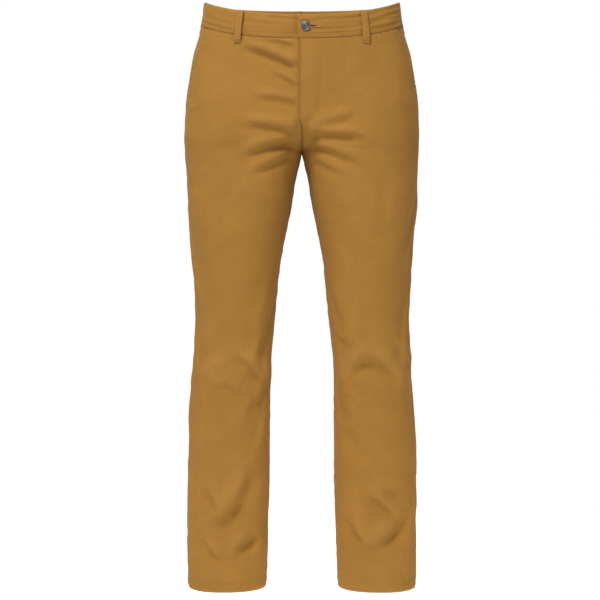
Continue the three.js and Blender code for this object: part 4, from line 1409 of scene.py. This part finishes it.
class BackPocketsOperator(bpy.types.Operator):
    """Makes the two back pockets: a narrow welt round each mouth, and the bag behind it"""

    bl_idname = "trousers.back_pockets"
    bl_label = "Back pockets"

    def execute(self, context):
        slit = 61.7 / (float(band_seam(0.75)) - FORK_TOP)
        low_u, high_u = 0.5 + 0.5 * 5 / 15, 0.5 + 0.5 * 10 / 15
        for side, mirror in (("left", False), ("right", True)):
            parts = []
            for lip in (1, -1):
                u = np.linspace(low_u - 0.004, high_u + 0.004, 60)[None, :]
                s = np.linspace(0, math.tau, 15)[:-1][:, None]
                mid = row_height(slit, u) + lip * 3.2
                z = mid - 2.9 * np.cos(s)
                out = 1.1 + 0.75 * np.sin(s)
                x, y = section(u, z)
                x, y, z = np.broadcast_arrays(x, y, z)
                near_z = np.linspace(10, -10, 14)[:, None] + mid
                patch = np.stack([*section(u, near_z), np.broadcast_to(near_z, x.shape)], 2)
                n = Cloth(patch).normals[7]
                wave = 0.15 * ripple(u * 600, z * 0, 101 + lip, 20)
                points = np.stack([x, y, z], 2) + n[None] * (out + wave)[..., None]
                parts.append(points)
            verts = []
            faces = []
            for points in parts:
                rows, cols = points.shape[:2]
                base = len(verts)
                verts += list(points.reshape(-1, 3))
                for r in range(rows):
                    m = (r + 1) % rows
                    here, there = base + r * cols, base + m * cols
                    faces += [(here + c, here + c + 1, there + c + 1, there + c) for c in range(cols - 1)]
                faces.append([base + r * cols for r in range(rows)])
                faces.append([base + r * cols + cols - 1 for r in reversed(range(rows))])
            arr = np.array(verts)
            if mirror:
                arr = arr * (-1, 1, 1)
                faces = [f[::-1] for f in faces]
            uv = np.stack([arr[:, 0], arr[:, 2]], 1)
            obj = new_object(f"back_pocket_welt_{side}_visual", arr, faces, uv)
            place(obj, "twill", "trousers", (f"back_pocket_welt_{side}",))
            u = np.linspace(low_u - 0.006, high_u + 0.006, 40)[None, :]
            z = band_seam(u) - 6 - 172 * np.linspace(0, 1, 60)[:, None]
            x, y = section(u, z)
            cloth = Cloth(np.stack([x, y, z], 2), mirror)
            cloth = cloth.raised(-2.0 + 0.3 * ripple(cloth.across, cloth.down, 103, 40))
            bag = cloth_object(f"back_pocket_bag_{side}_visual", cloth, 0.45)
            place(bag, "lining", "trousers", (f"back_pocket_bag_{side}",))
        return {"FINISHED"}


def facing_edge(z):
    turn = -FLY_END + 45
    t = np.clip((turn - z) / 45, 0, 1)
    return np.where(z > turn, 34.0, -2 + 36 * np.sqrt(np.maximum(0.03, 1 - t * t)))


def joined_blocks(name, blocks, bevel):
    """One piece made of blocks with softened edges, each given by two opposite corners."""
    points = []
    faces = []
    for a, b in blocks:
        low, high = np.minimum(a, b), np.maximum(a, b)
        base = len(points)
        for k in range(8):
            points.append([high[i] if k >> i & 1 else low[i] for i in range(3)])
        for f in ((0, 2, 3, 1), (4, 5, 7, 6), (0, 1, 5, 4), (2, 6, 7, 3), (0, 4, 6, 2), (1, 3, 7, 5)):
            faces.append([base + k for k in f])
    obj = new_object(name, points, faces, smooth=False)
    soft = obj.modifiers.new("edges", "BEVEL")
    soft.width = bevel * MM
    soft.segments = 2
    apply_modifiers(obj)
    return obj


class FlyOperator(bpy.types.Operator):
    """Makes the fly: its facing, the shield behind the zip, and the zip's tapes and teeth"""

    bl_idname = "trousers.fly"
    bl_label = "Fly and zip"

    def execute(self, context):
        z = np.linspace(-BAND_HEIGHT - 0.3, FORK_TOP + 1, 60)[:, None]
        start = fly_edge(z) + 1.2
        x = start + (facing_edge(z) - start) * np.linspace(0, 1, 22)[None, :]
        z = np.broadcast_to(z, x.shape)
        y = section(u_at(x, z), z)[1]
        cloth = Cloth(np.stack([x, y, z], 2))
        cloth = cloth.raised(-1.5 + 0.12 * ripple(cloth.across, cloth.down, 111, 15))
        facing = cloth_object("fly_facing_visual", cloth, 0.5)
        place_over_fold(facing, "twill", ("fly_facing",))
        low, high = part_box("fly_shield")
        sx = np.linspace(low[0], high[0], 20)[None, :] / MM
        sz = np.linspace(high[2], low[2], 70)[:, None] / MM
        corner = 12 * ease((sz * 0 + low[2] / MM + 26 - sz) / 26)
        sx = sx - corner * ease((sx - low[0] / MM) / 30)
        sz = np.broadcast_to(sz, sx.shape)
        sy = low[1] / MM + 0.15 * ripple(sx, sz, 113, 30)
        shield = cloth_object("fly_shield_visual", Cloth(np.stack([sx, sy, sz], 2)), 0.9)
        place(shield, "twill", "trousers", ("fly_shield",))
        for side in ("left", "right"):
            low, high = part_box(f"zip_tape_{side}")
            tx = np.linspace(low[0], high[0], 14)[None, :] / MM
            tz = np.linspace(high[2], low[2], 80)[:, None] / MM
            tx, tz = np.broadcast_arrays(tx, tz)
            ty = (low[1] + high[1]) / 2 / MM + 0.1 * np.cos(math.tau * (tx - tx[:, :1]) / 3.2)
            tape = cloth_object(f"zip_tape_{side}_visual", Cloth(np.stack([tx, ty, tz], 2)), 0.5)
            if side == "left":
                place_over_fold(tape, "tape", ("zip_tape_left",))
            else:
                place(tape, "tape", "trousers", ("zip_tape_right",))
        self.teeth("left", 1)
        self.teeth("right", -1)
        self.slider()
        for name in ("zip_top_stop_left", "zip_top_stop_right", "zip_bottom_stop", "zip_pull"):
            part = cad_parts[name]
            part.data.materials.clear()
            part.data.materials.append(finish_of("brass"))
        return {"FINISHED"}

    def teeth(self, side, sign):
        """One row: teeth clamped on the bead of the tape, stopping just short of the middle
        so that the slider's post passes between the rows."""
        low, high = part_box(f"zip_teeth_{side}")
        top, foot = high[2] / MM, low[2] / MM
        middle = (low[1] + high[1]) / 2 / MM
        blocks = [((1.7, -0.8, foot), (2.6, 0.8, top))]
        for z in np.arange(top - 0.5, foot + 1.5, -TOOTH_PITCH):
            blocks.append(((0.55, -0.95, z - 1.6), (1.9, 0.95, z)))
            blocks.append(((0.5, -0.6, z - 1.3), (0.8, 0.6, z - 0.3)))
        shifted = [
            ((ZIP_X + sign * a[0], middle + a[1], a[2]), (ZIP_X + sign * b[0], middle + b[1], b[2]))
            for a, b in blocks
        ]
        obj = joined_blocks(f"zip_teeth_{side}_visual", shifted, 0.15)
        if side == "left":
            place_over_fold(obj, "brass", ("zip_teeth_left",))
        else:
            place(obj, "brass", "trousers", ("zip_teeth_right",))

    def slider(self):
        """Two plates joined by a thin post at the top, with a bridge that holds the pull."""
        low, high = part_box("zip_slider")
        top, foot = high[2] / MM, low[2] / MM
        back = high[1] / MM
        front = back - 4.6
        x = ZIP_X
        blocks = [
            ((x - 2.6, front, foot), (x + 2.6, front + 0.9, top)),
            ((x - 2.6, back - 0.9, foot), (x + 2.6, back, top)),
            ((x - 0.4, front + 0.5, top - 1.2), (x + 0.4, back - 0.5, top)),
            ((x - 1.3, low[1] / MM, top - 2.3), (x + 1.3, front + 0.3, top - 1.2)),
            ((x - 1.3, low[1] / MM, top - 6.3), (x + 1.3, front + 0.3, top - 5.3)),
            ((x - 1.3, low[1] / MM, top - 6.3), (x + 1.3, low[1] / MM + 0.5, top - 1.2)),
        ]
        place(joined_blocks("zip_slider_visual", blocks, 0.25), "brass", "slider", ("zip_slider",))


class StitchingOperator(bpy.types.Operator):
    """Sews the visible lines: fly, pocket mouths, inseams, hems, waistband and buttonhole"""

    bl_idname = "trousers.stitching"
    bl_label = "Stitching"

    def execute(self, context):
        for side in ("left", "right"):
            front = SHEETS[f"front_{side}"]
            back = SHEETS[f"back_{side}"]
            runs = []
            rows, cols = front.points.shape[:2]
            r = np.arange(62, rows - 1)
            col = np.array([np.interp(INSEAM_ROW, front.across[i], np.arange(cols)) for i in r])
            runs.append(front.sample(r, col, 0.1))
            for sheet in (front, back):
                c = np.linspace(0.4, cols - 1.4, cols * 2)
                j = c.astype(int)
                from_hem = (sheet.down[-1] - sheet.down)[::-1]
                upward = np.arange(rows)[::-1]
                row = np.array([np.interp(HEM_ROW, from_hem[:, k], upward) for k in j])
                runs.append(sheet.sample(row, c, 0.1))
            r = np.array([i for i in range(1, rows) if front.points[i, -1, 2] > MOUTH_END + 2])
            mouth_row = front.across[:, -1] - MOUTH_ROW
            col = np.array([np.interp(mouth_row[i], front.across[i], np.arange(cols)) for i in r])
            runs.append(front.sample(r, col, 0.1))
            place(stitch_mesh(f"topstitching_{side}", runs), "thread")
            band = SHEETS[f"band_{side}"]
            c = np.linspace(1, band.points.shape[1] - 2, 800)
            across = np.full(len(c), 21 * (1 - BAND_ROW / BAND_HEIGHT))
            cut = SHEETS["band_cut"] if side == "left" else 0
            ahead = c < cut
            rest = band.sample(across[~ahead], c[~ahead], 0.1)
            place(stitch_mesh(f"waistband_stitching_{side}", [rest]), "thread")
            if side == "left":
                end = band.sample(across[ahead], c[ahead], 0.1)
                place_over_fold(stitch_mesh("waistband_end_stitching", [end]), "thread")
            ends = []
            for row_at in (1.6, len(r) - 2.0):
                i = int(r[0] + row_at)
                p, n = front.sample([i, i], [cols - 5.0, cols - 1.2], 0.15)
                along = p[1] - p[0]
                size = np.linalg.norm(along)
                ends += bar_tack(p.mean(0), along / size, n[0], 6.5, 1.8)
            place(stitch_mesh(f"pocket_bar_tacks_{side}", ends, 2.2, 1.8, 0.24), "thread")
        self.fly(SHEETS["front_left"])
        self.buttonhole(SHEETS["band_left"])
        return {"FINISHED"}

    def fly(self, front):
        runs = []
        for inset in (0.0, FLY_ROWS_APART):
            curve = fly_curve(inset)
            length = np.concatenate([[0], np.cumsum(np.hypot(*np.diff(curve, axis=0).T))])
            stops = np.linspace(0, length[-1], 120)
            path_x, path_z = (np.interp(stops, length, curve[:, i]) for i in (0, 1))
            keep = path_x > -2.5
            r, c = front.locate(path_x[keep], path_z[keep])
            runs.append(front.sample(r, c, 0.15))
        z = np.linspace(-BAND_HEIGHT - 1, -FLY_END + 8, 80)
        r, c = front.locate(fly_edge(z) + 2.4, z)
        runs.append(front.sample(r, c, 0.1))
        place_over_fold(stitch_mesh("fly_topstitching", runs), "thread")
        r, c = front.locate([0.5, 7.0], [-FLY_END + 16, -FLY_END + 16])
        p, n = front.sample(r, c, 0.15)
        along = p[1] - p[0]
        tack = bar_tack(p.mean(0), along / np.linalg.norm(along), n[0], 8, 2.0)
        place_over_fold(stitch_mesh("fly_bar_tack", tack, 2.2, 1.9, 0.24), "thread")

    def buttonhole(self, band):
        outline = slot_outline(HOLE_MID + 1.5, -BUTTON_DROP, HOLE_HALF - 2, 0.75, 2.6, 40)
        wide = slot_outline(HOLE_MID + 1.5, -BUTTON_DROP, HOLE_HALF - 2, 2.5, 4.4, 40)
        runs = []
        closed_in = np.vstack([outline, outline[:1]])
        closed_out = np.vstack([wide, wide[:1]])
        for k in range(len(outline)):
            steps = max(1, int(np.linalg.norm(closed_in[k + 1] - closed_in[k]) / 0.5))
            for s in range(steps):
                f = s / steps
                p = closed_in[k] * (1 - f) + closed_in[k + 1] * f
                q = closed_out[k] * (1 - f) + closed_out[k + 1] * f
                r, c = band.locate([p[0], q[0]], [p[1], q[1]])
                pts, n = band.sample(r, c, 0.25)
                runs.append((pts, n))
        obj = stitch_mesh("buttonhole_stitching", runs, 1.95, 1.7, 0.27)
        place_over_fold(obj, "buttonhole")
        r, c = band.locate([HOLE_END + 1.6, HOLE_END + 1.6], [-BUTTON_DROP - 2.4, -BUTTON_DROP + 2.4])
        p, n = band.sample(r, c, 0.3)
        along = (p[1] - p[0]) / np.linalg.norm(p[1] - p[0])
        tack = bar_tack(p.mean(0), along, n[0], 5.2, 2.2)
        place_over_fold(stitch_mesh("buttonhole_bar_tack", tack, 2.6, 2.0, 0.27), "buttonhole")


FLOOR_LEVEL = -1.16
FLOOR_RADIUS = 2.0


class StageOperator(bpy.types.Operator):
    """Sets up the studio: a pale round floor of paper, soft lights and the camera"""

    bl_idname = "trousers.stage"
    bl_label = "Studio"

    def execute(self, context):
        props = context.scene.trousers_studio
        count = 96
        turns = [math.tau * k / count for k in range(count)]
        rim = [(FLOOR_RADIUS * math.cos(a), FLOOR_RADIUS * math.sin(a), FLOOR_LEVEL) for a in turns]
        floor = new_object("studio_floor", np.array(rim) / MM, [list(range(count))], smooth=False)
        material, tree, shader = blank("studio_paper")
        grain = node(tree, "ShaderNodeTexNoise", {"Scale": 60.0, "Detail": 3.0}).outputs["Fac"]
        tone = node(tree, "ShaderNodeMapRange", {"Value": grain, "To Min": 0.93, "To Max": 0.95})
        tree.links.new(tone.outputs[0], shader.inputs["Base Color"])
        shader.inputs["Roughness"].default_value = 0.95
        shader.inputs["Emission Color"].default_value = (1, 1, 1, 1)
        shader.inputs["Emission Strength"].default_value = props.floor_glow
        floor.data.materials.append(material)
        world = bpy.data.worlds.new("studio_room")
        world.use_nodes = True
        tree = world.node_tree
        seen = node(tree, "ShaderNodeLightPath").outputs["Is Camera Ray"]
        levels = {"Value": seen, "To Min": props.room_light, "To Max": 1.0}
        strength = node(tree, "ShaderNodeMapRange", levels)
        tree.nodes["Background"].inputs[0].default_value = (1, 1, 1, 1)
        tree.links.new(strength.outputs[0], tree.nodes["Background"].inputs[1])
        context.scene.world = world
        main = props.key_light
        for name, at, aim, size, watts in (
            ("key", (-0.7, -1.7, 2.1), (0, 0, -0.5), 0.8, main),
            ("fill", (1.9, -2.4, -0.3), (0, 0, -0.6), 1.6, main * 0.10),
            ("side_left", (-2.2, -0.7, 0.0), (0, 0, -0.5), 1.0, main * 0.05),
            ("side_right", (2.2, -0.7, 0.2), (0, 0, -0.5), 1.0, main * 0.05),
            ("back_left", (-1.6, 2.4, 1.6), (0, 0, -0.5), 1.2, main * 0.4),
            ("back_right", (1.6, 2.4, 1.6), (0, 0, -0.5), 1.2, main * 0.4),
        ):
            light = bpy.data.lights.new(f"softbox_{name}", "AREA")
            light.shape = "RECTANGLE"
            light.size = size
            light.size_y = size * 1.2
            light.energy = watts
            lamp = bpy.data.objects.new(f"softbox_{name}", light)
            lamp.location = at
            lamp.rotation_euler = (Vector(aim) - Vector(at)).to_track_quat("-Z", "Y").to_euler()
            context.collection.objects.link(lamp)
        camera_data = bpy.data.cameras.new("camera")
        camera_data.lens = props.lens
        camera_data.sensor_width = 36
        camera_data.clip_end = 50
        camera = bpy.data.objects.new("camera", camera_data)
        camera.location = (-0.0037, -2.8, -0.508)
        camera.rotation_euler = (math.pi / 2, 0, 0)
        context.collection.objects.link(camera)
        context.scene.camera = camera
        context.scene.view_settings.view_transform = "Standard"
        return {"FINISHED"}


class ClothProperties(bpy.types.PropertyGroup):
    colour: FloatVectorProperty(
        name="Cloth colour",
        description="Dyed colour of the twill",
        subtype="COLOR",
        size=3,
        min=0,
        max=1,
        default=(0.374, 0.183, 0.036),
    )
    lining: FloatVectorProperty(
        name="Lining colour",
        description="Colour of the pocketing and the waistband lining",
        subtype="COLOR",
        size=3,
        min=0,
        max=1,
        default=(0.72, 0.66, 0.55),
    )
    thickness: FloatProperty(
        name="Cloth thickness",
        description="Thickness of one layer of twill",
        subtype="DISTANCE",
        unit="LENGTH",
        min=0.0004,
        max=0.002,
        default=0.0009,
    )


class StudioProperties(bpy.types.PropertyGroup):
    key_light: FloatProperty(
        name="Main light",
        description="Power of the main softbox; the others follow it",
        subtype="POWER",
        unit="POWER",
        min=0,
        default=92.0,
    )
    floor_glow: FloatProperty(
        name="Floor light",
        description="How far the white floor is lit from below",
        min=0,
        default=0.5,
    )
    room_light: FloatProperty(
        name="Room light",
        description="Brightness of the white room around the stage",
        min=0,
        default=0.19,
    )
    lens: FloatProperty(
        name="Lens",
        description="Focal length of the camera",
        subtype="DISTANCE_CAMERA",
        unit="CAMERA",
        min=10,
        default=91.3,
    )


OPERATORS = (
    PanelsOperator,
    WaistbandOperator,
    BeltLoopsOperator,
    ButtonOperator,
    FrontPocketsOperator,
    BackPocketsOperator,
    FlyOperator,
    StitchingOperator,
    StageOperator,
)


class TrousersPanel(bpy.types.Panel):
    """Lists the steps that build the trousers, and their settings"""

    bl_idname = "VIEW3D_PT_trousers"
    bl_label = "Trousers"
    bl_space_type = "VIEW_3D"
    bl_region_type = "UI"
    bl_category = "Trousers"

    def draw(self, context):
        for settings in (context.scene.trousers_cloth, context.scene.trousers_studio):
            for key in settings.__annotations__:
                self.layout.prop(settings, key)
        for operator in OPERATORS:
            self.layout.operator(operator.bl_idname)


CLASSES = (ClothProperties, StudioProperties, *OPERATORS, TrousersPanel)


def register():
    for cls in CLASSES:
        bpy.utils.register_class(cls)
    bpy.types.Scene.trousers_cloth = PointerProperty(type=ClothProperties)
    bpy.types.Scene.trousers_studio = PointerProperty(type=StudioProperties)


def unregister():
    del bpy.types.Scene.trousers_cloth
    del bpy.types.Scene.trousers_studio
    for cls in reversed(CLASSES):
        bpy.utils.unregister_class(cls)


def main():
    register()
    for operator in OPERATORS:
        group, name = operator.bl_idname.split(".")
        getattr(getattr(bpy.ops, group), name)()
    bpy.context.view_layer.update()


if __name__ == "__main__":
    main()
